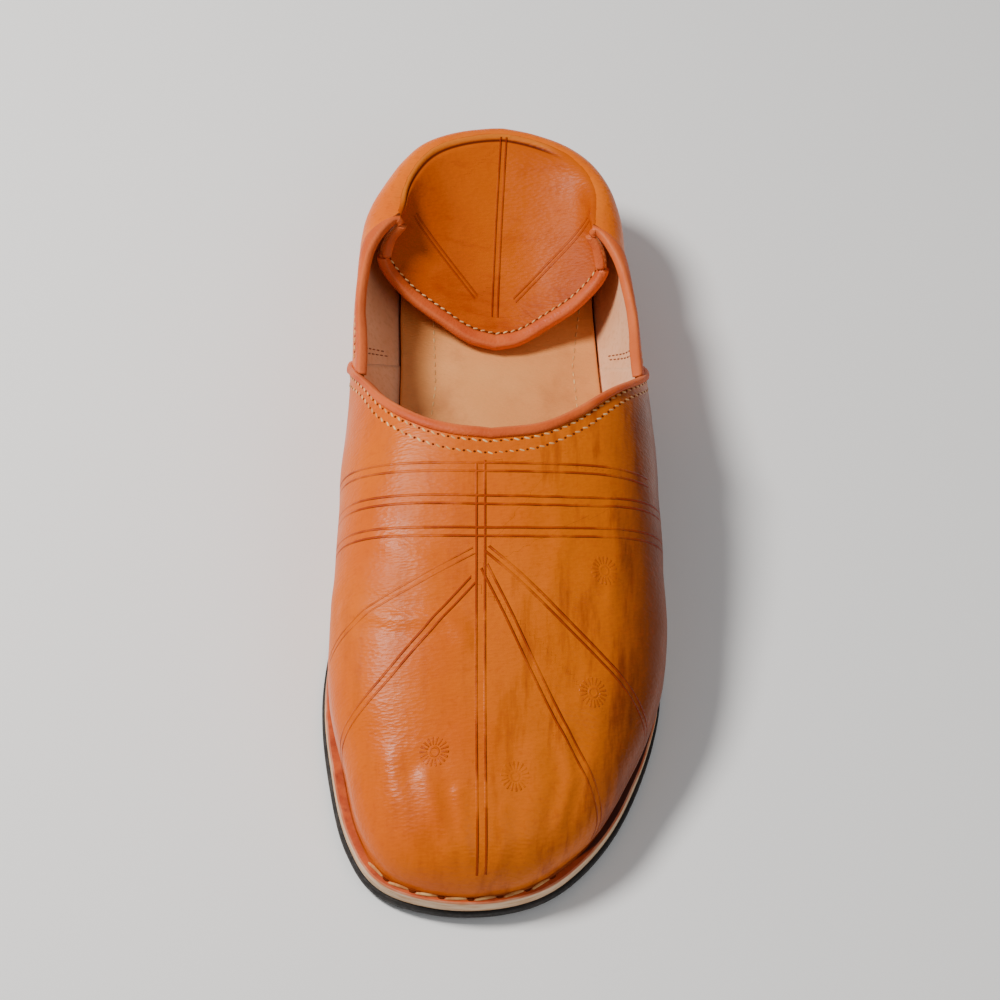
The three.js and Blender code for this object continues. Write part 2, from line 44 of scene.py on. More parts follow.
# Sizes of the part
SOLE_LENGTH = 280
BALL_WIDTH = 107
OUTSOLE_THICKNESS = 3.4
MIDSOLE_THICKNESS = 4.6
INSOLE_THICKNESS = 2
INSOLE_ROOM = 0.9
INSOLE_HEEL_ROOM = 1.5
INSOLE_TOE_ROOM = 4
INSOLE_SPREAD = 0.6  # the insole reaches this much nearer to the lining than its solid
RUBBER_RIM = 0.9
TOE_SPRING = 1.6
TOE_SPRING_REACH = 75
TOE_POINT_X = -6.7
HEEL_POINT_X = 1.5
TOE_TURN = 1.9
INSTEP_HEIGHT = 64
COLLAR_HEIGHT = 42
VAMP_WALL = 2.2
QUARTER_WALL = 1.6
LEDGE_TOE = 3
LEDGE_MEDIAL = 4.2
LEDGE_LATERAL = 4.6
OVERHANG = 15
FULLNESS = 2.2
HEEL_TURN_LENGTH = 40
FLAP_REACH = 29
FLAP_TIP_HEIGHT = 15
FLAP_ROLL = 7
FLAP_BOWL = 0.3
FLAP_LIFT = 0.12
GAP = 0.3

HALF_LENGTH = SOLE_LENGTH / 2
MIDSOLE_BASE = OUTSOLE_THICKNESS + GAP
UPPER_BASE = MIDSOLE_BASE + MIDSOLE_THICKNESS + GAP
UPPER_TOE = -HALF_LENGTH + LEDGE_TOE
UPPER_LENGTH = SOLE_LENGTH - 2 * LEDGE_TOE
STEP = VAMP_WALL - QUARTER_WALL
TURN_Y = HALF_LENGTH - LEDGE_TOE - HEEL_TURN_LENGTH
TURN_SHARE = 1 - HEEL_TURN_LENGTH / UPPER_LENGTH

MEDIAL = -1
LATERAL = 1
SIDES = (MEDIAL, LATERAL)
SIDE_NAMES = {MEDIAL: "medial", LATERAL: "lateral"}
LEDGES = {MEDIAL: LEDGE_MEDIAL, LATERAL: LEDGE_LATERAL}

# Half widths of the outsole, as shares of the ball width, at shares of its length from the toe.
SOLE_OUTLINE = """
at     medial  lateral
0      0       0
0.018  0.215   0.221
0.071  0.324   0.377
0.143  0.382   0.48
0.25   0.427   0.556
0.32   0.422   0.564
0.393  0.393   0.547
0.5    0.35    0.506
0.607  0.33    0.46
0.714  0.334   0.423
0.82   0.35    0.397
0.893  0.351   0.379
0.946  0.308   0.322
0.982  0.219   0.215
1      0       0
"""

# Sections of the upper at shares of its length from its toe. The leans are shares of OVERHANG, the
# heights are shares of the collar's and the instep's height above the sole, and shoulder is the
# share of the half width over which the top of a section rounds inwards.
UPPER_SECTIONS = """
at     medial_lean  lateral_lean  widest  instep  collar  shoulder
0      0            0             0       0       0       1
0.011  0            0             0.06    0.19    0       1
0.03   0            0.03          0.12    0.29    0       1
0.062  0.03         0.08          0.18    0.38    0       1
0.135  0.07         0.12          0.27    0.5     0       1
0.208  0.18         0.17          0.36    0.61    0       1
0.281  0.22         0.19          0.45    0.715   0       1
0.354  0.37         0.23          0.54    0.825   0       1
0.427  0.61         0.29          0.6     0.93    0       1
0.5    0.83         0.41          0.66    1.01    0       1
0.573  0.91         0.5           0.72    1.03    0       1
0.646  0.97         0.54          0.75    0.45    0.7     0.6
0.719  1            0.57          0.76    0       1.13    0.25
0.792  0.93         0.5           0.76    0       1.08    0.2
0.854  0.83         0.44          0.74    0       1.06    0.26
0.93   0.54         0.45          0.74    0       1.03    0.18
1      0.64         0.64          0.74    0       1       0.13
"""

# Rear edge of the vamp, as shares of the upper's length: over is 0 at the sole and 2 on the ridge.
VAMP_EDGE = """
over  medial  lateral
0     0.726   0.74
0.5   0.69    0.705
1     0.65    0.67
1.25  0.604   0.63
1.45  0.55    0.588
1.7   0.505   0.525
1.85  0.49    0.497
2     0.485   0.485
"""

# Collar line from the vamp, along 0, to the ear, along 1: how far over the section it lies.
COLLAR_LINE = """
along  medial  lateral
0      1.24    1.29
0.3    1.34    1.38
0.6    1.48    1.5
0.8    1.6     1.62
0.92   1.76    1.77
0.98   1.91    1.91
1      2       2
"""

# Edge of the folded back from the ear, turn 0, to the middle of the heel, turn 1.
FLAP_EDGE = """
turn  out   forward  down
0     1     0        0
0.05  0.97  0.02     0.07
0.12  1.06  0.13     0.21
0.22  1.1   0.31     0.4
0.38  0.88  0.56     0.65
0.6   0.49  0.81     0.86
0.8   0.24  0.95     0.96
1     0     1        1
"""

# Cross section of a binding round an edge: heights above the outer leather, depths from the edge.
# The wrapped strip ends inside the shoe, and the lapped one, on a wing, ends on the leather below it.
BINDING_SECTION = """
wrap_height  wrap_depth  lap_height  lap_depth
0.05         3.9         0.05        3.9
0.55         3.85        0.55        3.85
0.9          3.5         0.9         3.5
1.12         2.4         1.12        2.4
1.1          1.2         1.1         1.2
0.95         0.2         0.95        0.2
0.65         -0.5        0.65        -0.5
0.1          -0.9        0.15        -0.85
-1.2         -1          -0.25       -0.95
-2.4         -0.8        -0.5        -0.9
-2.95        -0.1        -0.6        -0.75
-2.95        1.2         -0.62       -0.5
-2.6         1.9         -0.62       -0.2
-1.9         1.95        -0.55       0.3
"""


def read_table(table):
    """Column names of a table and its rows as an array."""
    header, *lines = [line.split() for line in table.split("\n") if line.strip()]
    return header, np.array([[float(cell) for cell in line] for line in lines])


def round_end(share):
    """An angle that is even round both ends, so that a width that grows with it closes in a round end."""
    return np.arccos(1 - 2 * np.clip(share, 0, 1))


def curves_through(table, warp=lambda value: value):
    """Smooth curves through the rows of a table, one for each named column."""
    header, rows = read_table(table)
    places = warp(rows[:, 0])
    before = np.concatenate([[places[1]], places[:-1]])
    after = np.concatenate([places[1:], [places[-2]]])

    def curve(values):
        value_before = np.concatenate([[values[1]], values[:-1]])
        value_after = np.concatenate([values[1:], [values[-2]]])

        def evaluate(place):
            t = np.clip(warp(np.asarray(place, float)), places[0], places[-1])
            i = np.clip(np.searchsorted(places, t, side="right"), 1, len(places) - 1)
            start, end = places[i - 1], places[i]
            p = (t - start) / (end - start)
            w0 = (end - start) / 2 / (start - before[i - 1])
            w1 = (end - start) / 2 / (after[i] - end)
            p2, p3 = p * p, p * p * p
            return (
                w0 * (2 * p2 - p3 - p) * value_before[i - 1]
                + ((1 + w0) * p3 - (1.5 + 2 * w0) * p2 + (w0 - 0.5) * p + 1) * values[i - 1]
                + ((1.5 + w1) * p2 - (1 + w1) * p3 + 0.5 * p) * values[i]
                + w1 * (p3 - p2) * value_after[i]
            )

        return evaluate

    return {name: curve(rows[:, k]) for k, name in enumerate(header)}


sole_outline = curves_through(SOLE_OUTLINE, round_end)
upper_sections = curves_through(UPPER_SECTIONS, round_end)
vamp_edge = curves_through(VAMP_EDGE)
collar_line = curves_through(COLLAR_LINE)
flap_edge = curves_through(FLAP_EDGE)


def lerp(a, b, t):
    return a + (b - a) * t


def centre_x(y):
    return lerp(TOE_POINT_X, HEEL_POINT_X, (y + HALF_LENGTH) / SOLE_LENGTH)


def lifted(x, y, z):
    """Points with the toe spring added."""
    reach = np.maximum(0, TOE_SPRING_REACH - HALF_LENGTH - y) / TOE_SPRING_REACH
    return np.stack(np.broadcast_arrays(x, y, z + TOE_SPRING * reach**2), axis=-1)


def sideways(share):
    return np.sin(np.minimum(math.pi / 2, TOE_TURN * round_end(share)))


def lengthways(share):
    return np.cos(np.minimum(math.pi / 2, TOE_TURN * round_end(share)))


def sole_half_width(side, share, inset):
    from_ends = np.minimum(sideways(share), sideways(1 - share))
    return sole_outline[SIDE_NAMES[side]](share) * BALL_WIDTH - inset * from_ends


def sole_edge(side, share, inset, z):
    """A point of a sole layer's outline; inset holds its distances in at the toe, heel and this side."""
    y = lerp(-HALF_LENGTH + inset["toe"], HALF_LENGTH - inset["heel"], share)
    half = sole_half_width(side, share, inset[SIDE_NAMES[side]])
    return lifted(centre_x(y) + side * half, y, z)


def upper_point(side, share, over, inset):
    """A point of the upper: over is 0 at the sole, 1 at the widest point and 2 on the ridge."""
    share, over, inset = np.broadcast_arrays(*map(np.asarray, (share, over, inset)))
    y = UPPER_TOE + UPPER_LENGTH * share
    turning = y > TURN_Y
    centre_y = np.minimum(y, TURN_Y)
    centre = centre_x(centre_y)
    foot_x = centre_x(y) + side * np.maximum(0, sole_half_width(side, share, LEDGES[side]))
    base = np.hypot(foot_x - centre, y - centre_y)
    safe = np.maximum(base, 1e-9)
    facing_x = np.where(turning, (foot_x - centre) / safe, side)
    facing_y = np.where(turning, (y - centre_y) / safe, 0)
    wide = base + upper_sections[f"{SIDE_NAMES[side]}_lean"](share) * OVERHANG
    collar_rise = COLLAR_HEIGHT - UPPER_BASE
    top = (
        upper_sections["instep"](share) * (INSTEP_HEIGHT - UPPER_BASE)
        + upper_sections["collar"](share) * collar_rise
    )
    widest = upper_sections["widest"](share) * collar_rise
    rise = np.maximum(0, top - widest)
    shoulder = upper_sections["shoulder"](share) * wide
    into = inset * np.where(turning, 1, sideways(share))
    angle = (np.clip(over, 1, 2) - 1) * math.pi / 2
    across = np.maximum(0, np.cos(angle)) ** (2 / FULLNESS)
    up = np.maximum(0, np.sin(angle)) ** (2 / FULLNESS)
    out = np.where(
        over <= 1,
        wide - into - (wide - base) * (1 - over) ** 2,
        wide - shoulder + (shoulder - into) * across,
    )
    z = np.where(over <= 1, widest * over, widest + np.maximum(0, rise - into) * up)
    out = np.maximum(0, out)
    forward = inset * np.where(turning, 0, lengthways(share))
    return lifted(centre + facing_x * out, centre_y + facing_y * out + forward, UPPER_BASE + z)


def turn_share(turn):
    return (1 - np.cos(lerp(round_end(TURN_SHARE), math.pi, turn))) / 2


def vamp_place(side, station, column):
    """Share and over on the vamp; column is 0 at the sole, 1 on the collar line and 2 on the ridge."""
    station, column = np.broadcast_arrays(np.asarray(station, float), np.asarray(column, float))
    name = SIDE_NAMES[side]
    collar = collar_line[name](0)
    over = np.where(column <= 1, collar * column, lerp(collar, 2, column - 1))
    share = (1 - np.cos(station * round_end(vamp_edge[name](over)))) / 2
    return share, over


def vamp_point(side, station, column, inset=0.0):
    share, over = vamp_place(side, station, column)
    return upper_point(side, share, over, inset)


def quarter_place(side, along, column):
    """Share and over on the quarter, from the vamp's edge, along 0, to the ear, along 1."""
    name = SIDE_NAMES[side]
    start = vamp_edge[name](collar_line[name](0) * column)
    return lerp(start, TURN_SHARE, along), collar_line[name](along) * column


def wall_point(side, place, column, inset):
    """The wall behind the vamp: place runs from its edge, 0, to the ear, 1, and the heel's middle, 2."""
    place, column = np.broadcast_arrays(np.asarray(place, float), np.asarray(column, float))
    share, over = quarter_place(side, np.minimum(place, 1), column)
    share = np.where(place > 1, turn_share(np.clip(place - 1, 0, 1)), share)
    over = np.where(place > 1, 2 * column, over)
    return upper_point(side, share, over, inset)


def flap_point(side, turn, fold):
    """The outer leather of the folded back, from the crest, fold 0, to its edge, fold 1."""
    turn, fold = np.broadcast_arrays(np.asarray(turn, float), np.asarray(fold, float))
    ear = upper_point(side, TURN_SHARE, 2.0, STEP)
    middle = upper_point(side, 1.0, 2.0, STEP)
    crest = upper_point(side, turn_share(turn), 2.0, STEP)
    facing = crest[..., :2] - np.array([centre_x(TURN_Y), TURN_Y])
    facing = facing / np.linalg.norm(facing, axis=-1, keepdims=True)
    edge = np.stack(
        [
            lerp(middle[0], ear[0], flap_edge["out"](turn)),
            ear[1] - FLAP_REACH * flap_edge["forward"](turn),
            lerp(ear[2], FLAP_TIP_HEIGHT, flap_edge["down"](turn)),
        ],
        axis=-1,
    )
    length = np.linalg.norm(crest - edge, axis=-1, keepdims=True)
    roll = np.minimum(FLAP_ROLL, length * 0.4)
    over_crest = crest + np.concatenate([-facing * roll, 0 * roll], axis=-1)
    behind_edge = edge + np.array([0, 1, FLAP_LIFT]) * length * FLAP_BOWL
    f = fold[..., None]
    return (
        (1 - f) ** 3 * crest
        + 3 * f * (1 - f) ** 2 * over_crest
        + 3 * f**2 * (1 - f) * behind_edge
        + f**3 * edge
    )


def smooth_step(value, low, high):
    t = np.clip((value - low) / (high - low), 0, 1)
    return t * t * (3 - 2 * t)


def unit(vectors):
    return vectors / np.maximum(1e-9, np.linalg.norm(vectors, axis=-1, keepdims=True))


def grid_normals(grid, turned=False):
    """Unit normals of a grid of points, by the differences between neighbours."""
    normals = unit(np.cross(np.gradient(grid, axis=0), np.gradient(grid, axis=1)))
    return -normals if turned else normals


WELD = 0.002  # points of a piece that lie nearer than this are joined


def both_sides(make, columns):
    """A grid over both sides that share their last column, from medial over the middle to lateral."""
    return np.concatenate([make(MEDIAL, columns), make(LATERAL, columns[::-1][1:])], axis=1)


def round_heel(make):
    """Rows from the medial side round the heel to the lateral side, which share the last row."""
    return np.concatenate([make(MEDIAL), make(LATERAL)[-2::-1]])


def packed(*values):
    """Up to three numbers for each point, as one mark."""
    spare = [0.0] * (3 - len(values))
    return np.stack(np.broadcast_arrays(*values, *spare), axis=-1)


class Pieces:
    """One mesh collected from grids and loops of points, with a material for each part of it."""

    def __init__(self):
        self.points = []
        self.faces = []
        self.materials = []
        self.marks = {}
        self.count = 0

    def grid(self, points, material=0, turned=False, marks=None):
        """Adds a net of faces over rows of points, with named marks on its points."""
        rows, columns = points.shape[:2]
        index = self.count + np.arange(rows * columns).reshape(rows, columns)
        a, b, c, d = index[:-1, :-1], index[1:, :-1], index[1:, 1:], index[:-1, 1:]
        corners = (a, d, c, b) if turned else (a, b, c, d)
        faces = np.stack(corners, axis=-1).reshape(-1, 4)
        self.faces.append(faces)
        self.materials.append(np.full(len(faces), material))
        for name, values in (marks or {}).items():
            self.marks.setdefault(name, []).append((self.count, values.reshape(-1, 3)))
        self.points.append(points.reshape(-1, 3))
        self.count += rows * columns

    def make(self, name, slot, materials, node):
        """Makes the piece, in metres, welds its seams and ties it to the frame."""
        points = np.concatenate(self.points)
        mesh = bpy.data.meshes.new(name)
        mesh.from_pydata((points / 1000).tolist(), [], np.concatenate(self.faces).tolist())
        mesh.polygons.foreach_set("material_index", np.concatenate(self.materials).astype(np.int32))
        for mark, parts in self.marks.items():
            values = np.zeros((self.count, 3))
            for start, part in parts:
                values[start : start + len(part)] = part
            layer = mesh.attributes.new(mark, "FLOAT_VECTOR", "POINT")
            layer.data.foreach_set("vector", values.astype(np.float32).ravel())
        for material in materials:
            mesh.materials.append(material)
        work = bmesh.new()
        work.from_mesh(mesh)
        bmesh.ops.remove_doubles(work, verts=work.verts, dist=WELD / 1000)
        work.to_mesh(mesh)
        work.free()
        mesh.shade_smooth()
        piece = bpy.data.objects.new(name, mesh)
        bpy.context.scene.collection.objects.link(piece)
        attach(piece, "root")
        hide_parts(node)


# Tooled double lines of the vamp: plan positions along each on the leather.
VAMP_LINES = {
    "rear": [(-47, -9), (-37.5, -13.3), (-22, -15.8), (-5.7, -16.3), (16.9, -14.6), (38, -10.5)],
    "middle": [(-47.5, -20.5), (-30.3, -25.4), (-5.3, -26.8), (24, -24.4), (47.5, -17)],
    "front": [(-48.4, -30), (-29.8, -35.8), (-5, -36.6), (24.2, -34), (49.5, -26.5)],
    "centre": [(-5.7, -13.8), (-4.6, -46.6), (-3.5, -79.9), (-2.2, -112.5), (-0.9, -134.5)],
    "lateral_shallow": [(-3.5, -40.8), (7.6, -49.1), (24.9, -63.7), (43.7, -78.7)],
    "lateral_steep": [(-3.6, -46.5), (4.6, -61.1), (13.5, -78.5), (22.3, -93.6), (33.3, -110.7)],
    "medial_shallow": [(-6, -41.5), (-24.2, -51.5), (-35.7, -56.5), (-46.9, -64)],
    "medial_steep": [(-6, -50), (-25, -71.7), (-34.4, -82.9), (-44, -95)],
}
# Each double line: distance between its two lines, their width and how plainly they show
LINE_LOOKS = {
    "rear": (2.6, 0.62, 1.0),
    "middle": (2.6, 0.62, 1.0),
    "front": (2.6, 0.62, 1.0),
    "centre": (2.6, 0.66, 1.0),
    "lateral_shallow": (1.9, 0.66, 1.0),
    "lateral_steep": (2.2, 0.62, 1.0),
    "medial_shallow": (1.8, 0.5, 0.6),
    "medial_steep": (2.2, 0.62, 1.0),
}
# The marks that hold the distances from these lines, three each, and last how far over the section
LINE_MARKS = ("lines_across", "lines_lateral", "lines_medial")
# How far the lines that run off down the sides go on beyond their last positions
LINE_RUN_OFF = 14

# Rosettes stamped into the vamp: plan position and how plainly each shows.
VAMP_STAMPS = """
x      y       plain
-16.5  -102.3  0.85
30.8   -80.8   0.5
7.7    -108.4  0.5
33.5   -43.4   0.5
"""

# Soft creases of the vamp: plan positions, then depth and half width.
VAMP_CREASES = [
    ([(-45.6, -54.5), (-28.7, -62.5), (-14, -62.5), (-8, -69)], 0.4, 2.2),
    ([(-18.5, -110), (-15.5, -119), (-9.5, -129)], 0.45, 2.8),
    ([(-9, -114), (-7.5, -122), (-5, -131)], 0.35, 1.7),
    ([(4.5, -119), (5.5, -126), (4, -132)], 0.25, 2.2),
    ([(13, -101), (15, -111), (12, -124)], 0.32, 3.2),
    ([(22, -94), (24.6, -107), (21.5, -119)], 0.38, 1.9),
    ([(30, -78), (33, -92), (30, -106)], 0.22, 3.2),
    ([(-30, -104), (-27, -114), (-20, -124)], 0.25, 3.6),
    ([(17, -20), (20, -38), (17, -52)], 0.22, 2.6),
    ([(36, -22), (38.5, -38), (36, -52)], 0.25, 2.2),
    ([(-38, -34), (-24, -45), (-10, -50)], 0.2, 3),
]
STAMP_REACH = 7  # distance from its centre beyond which a stamp isn't drawn
FAR = 99.0  # the distance of a line or stamp that isn't drawn there

# Uneven surface of each leather: height and length of its waves, and where the noise is read
VAMP_WAVES = ((0.4, 21.0, 3.1), (0.2, 9.0, 9.7))
QUARTER_WAVES = ((0.3, 19.0, 5.3), (0.1, 7.0, 1.3))
FLAP_WAVES = ((0.45, 24.0, 2.2), (0.15, 9.0, 4.1))

# Lines of the folded back, in plan.
FLAP_LINES = {
    "centre": [(1.6, 139), (1.1, 114.4), (0.9, 92.3), (0.9, 78)],
    "lateral": [(31, 106.5), (14.7, 91.8), (7, 84)],
    "medial": [(-28, 106.5), (-12.5, 91.8), (-5, 84)],
}
FLAP_LINE_LOOKS = {"centre": (1.9, 0.6, 1.0), "lateral": (1.4, 0.6, 0.6), "medial": (1.4, 0.6, 0.6)}

ARC_SHARES = np.linspace(0, 0.8, 161)
ARC_OVERS = np.linspace(2, 0, 121)


def arc_tables():
    """Distance over the leather from the ridge, for each side, at shares and overs."""
    tables = {}
    for side in SIDES:
        points = upper_point(side, ARC_SHARES[:, None], ARC_OVERS[None], 0.0)
        steps = np.linalg.norm(np.diff(points, axis=1), axis=-1)
        tables[side] = np.concatenate([np.zeros((len(ARC_SHARES), 1)), np.cumsum(steps, axis=1)], axis=1)
    return tables


arcs = arc_tables()


def flat_on_vamp(side, share, over):
    """Flat positions of points of the vamp: distance over the leather from the ridge, and y."""
    row = np.clip(share / ARC_SHARES[-1] * (len(ARC_SHARES) - 1), 0, len(ARC_SHARES) - 1.001)
    column = np.clip((2 - over) / 2 * (len(ARC_OVERS) - 1), 0, len(ARC_OVERS) - 1.001)
    i, j = row.astype(int), column.astype(int)
    fi, fj = row - i, column - j
    table = arcs[side]
    near = lerp(table[i, j], table[i, j + 1], fj)
    far = lerp(table[i + 1, j], table[i + 1, j + 1], fj)
    return np.stack([side * lerp(near, far, fi), UPPER_TOE + UPPER_LENGTH * share], axis=-1)


def flat_from_plan(x, y):
    """Flat position of the point of the vamp that lies at x, y in plan."""
    side = LATERAL if x > centre_x(y) else MEDIAL
    share = (y - UPPER_TOE) / UPPER_LENGTH
    overs = np.linspace(2, 1, 80)
    points = upper_point(side, share, overs, 0.0)
    over = np.interp(side * (x - centre_x(y)), side * (points[:, 0] - centre_x(y)), overs)
    return flat_on_vamp(side, np.array(share), np.array(over))


def smoothed(line, rounds=3):
    """A line of points with its corners cut, which keeps its ends."""
    for _ in range(rounds):
        near, far = lerp(line[:-1], line[1:], 0.25), lerp(line[:-1], line[1:], 0.75)
        line = np.concatenate([line[:1], np.stack([near, far], axis=1).reshape(-1, 2), line[-1:]])
    return line


def run_off(line, before, after):
    """A line with its ends carried on straight."""
    line = np.array(line)
    first = line[0] - unit(line[1] - line[0]) * before
    last = line[-1] + unit(line[-1] - line[-2]) * after
    return np.concatenate([[first], line, [last]])


def line_distance(flat, line):
    """Signed distance of flat positions from a line, and far beyond its ends."""
    best = np.full(flat.shape[:-1], 1e9)
    signed = np.full(flat.shape[:-1], FAR)
    for k in range(len(line) - 1):
        start, along = line[k], line[k + 1] - line[k]
        length = np.linalg.norm(along)
        along = along / length
        offset = flat - start
        reach = offset @ along
        side = offset[..., 0] * along[1] - offset[..., 1] * along[0]
        far = np.hypot(reach - np.clip(reach, 0, length), side)
        outside = (k == 0) & (reach < 0) | (k == len(line) - 2) & (reach > length)
        value = np.where(outside, FAR, np.sign(side) * far)
        signed = np.where(far < best, value, signed)
        best = np.minimum(far, best)
    return signed


def trough(flat, line, depth, width):
    """A soft trough along a line, with a low ridge on both its sides, fading out at its ends."""
    best = np.full(flat.shape[:-1], 1e9)
    for start, end in zip(line[:-1], line[1:]):
        along = end - start
        reach = np.clip((flat - start) @ along / (along @ along), 0, 1)
        best = np.minimum(best, np.linalg.norm(flat - start - reach[..., None] * along, axis=-1))
    ratio = best / width
    return depth * (0.45 * np.exp(-((ratio - 1.9) ** 2)) - np.exp(-(ratio**2)))


def waves(points, size, seed):
    """Smooth noise in -1 to 1 at points, for a wavelength of size."""
    flat = points.reshape(-1, 3) / size + seed
    return np.array([noise.noise(Vector(p)) for p in flat]).reshape(points.shape[:-1])


def uneven(points, rows):
    """Heights of the waves in a leather's surface."""
    return sum(height * waves(points, size, seed) for height, size, seed in rows)


# Vamp: rows from the toe to the throat, columns from the medial sole over the ridge to the lateral one
VAMP_ROWS = 150
VAMP_COLUMNS = 88
CREVICE_TOP = 0.16  # how far over the section the wall tucks in above the sole
CREVICE_DEPTH = 0.7
LATERAL_DRAW = 0.9


def vamp_marks(flat, over):
    """Distances from the tooled lines, how far over the section, and places in the nearest stamp."""
    values = []
    for name, plan in VAMP_LINES.items():
        line = np.array([flat_from_plan(x, y) for x, y in plan])
        before = LINE_RUN_OFF if name in ("rear", "middle", "front") else 0
        after = 0 if name == "centre" else LINE_RUN_OFF
        line = smoothed(run_off(line, before + 0.01, after + 0.01))
        values.append(line_distance(flat, line))
    values.append(over)
    marks = {name: packed(*values[3 * k : 3 * k + 3]) for k, name in enumerate(LINE_MARKS)}
    _, stamps = read_table(VAMP_STAMPS)
    nearest = np.full(flat.shape[:-1], 1e9)
    stamp = np.zeros(flat.shape[:-1] + (3,))
    for x, y, plain in stamps:
        offset = flat - flat_from_plan(x, y)
        distance = np.linalg.norm(offset, axis=-1)
        closer = distance < nearest
        offset = np.where(distance[..., None] > STAMP_REACH, unit(offset) * FAR, offset)
        stamp[closer] = np.concatenate([offset, np.full(distance.shape + (1,), plain)], axis=-1)[closer]
        nearest = np.minimum(nearest, distance)
    return marks | {"stamp": stamp, "across": packed(flat[..., 0])}


def vamp_shape(flat, outer, over, share, stations):
    """Heights of the creases and waves over the plain vamp."""
    shape = uneven(outer, VAMP_WAVES)
    for plan, depth, width in VAMP_CREASES:
        line = np.array([flat_from_plan(x, y) for x, y in plan])
        shape += trough(flat, line, depth, width)
    # Nothing moves at the foot, where the leather meets the sole, or at the edge under the binding.
    calm = np.clip(over / 0.5, 0, 1) * np.clip((1 - stations) / 0.16, 0, 1)
    shape *= calm * np.clip(stations / 0.06, 0, 1)
    # The foot tucks in above the sole, most beside the little toe, where the leather above draws in too.
    lateral = flat[..., 0] > 0
    forefoot = smooth_step(-share, -0.5, -0.3) * smooth_step(share, 0.03, 0.09)
    crevice = np.where(lateral, CREVICE_DEPTH + 0.9 * forefoot, 0.5)
    shape -= crevice * np.clip(1 - over / CREVICE_TOP, 0, 1) * np.clip(stations / 0.2, 0, 1)
    low = smooth_step(-over, -1.3, -0.8) * np.clip(over / 0.3, 0, 1)
    return shape - LATERAL_DRAW * forefoot * low * lateral


def make_vamp(materials):
    stations = np.linspace(0, 1, VAMP_ROWS)[:, None]
    columns = 2 * np.linspace(0, 1, VAMP_COLUMNS)

    def on_both(find):
        return both_sides(lambda side, c: find(side, *vamp_place(side, stations, c[None])), columns)

    share, over = (on_both(lambda side, *place: place[k]) for k in range(2))
    flat = on_both(flat_on_vamp)
    plain = on_both(lambda side, share, over: upper_point(side, share, over, 0.0))
    inner = on_both(lambda side, share, over: upper_point(side, share, over, VAMP_WALL))
    outer = plain + grid_normals(plain) * vamp_shape(flat, plain, over, share, stations)[..., None]
    piece = Pieces()
    piece.grid(outer, 0, False, vamp_marks(flat, over))
    piece.grid(inner, 1, True)
    for column, turned in ((0, False), (-1, True)):
        piece.grid(np.stack([outer[:, column], inner[:, column]], axis=1), 2, turned)
    piece.grid(np.stack([outer[-1], inner[-1]], axis=0), 2)
    piece.make("vamp_leather", "tan_leather", materials, "upper")


# Quarters with the folded back
WALL_ROWS = 80
TURN_ROWS = 60
WALL_COLUMNS = 50
FLAP_COLUMNS = 60
CREST_CREASE = 2.6  # distance from the crest of the crease along the fold
CREASE_WIDTH = 0.9
CREASE_END = 24  # how far towards the little toe's side the crease goes
TUCK = 0.03  # the quarter goes on under the vamp by this share of its length


def crest_crease(from_crest, creased):
    """A crease along the crest, with a low ridge before it."""
    ratio = (from_crest - CREST_CREASE) / CREASE_WIDTH
    return creased * (0.2 * np.exp(-((ratio + 1.8) ** 2)) - 0.45 * np.exp(-(ratio**2)))


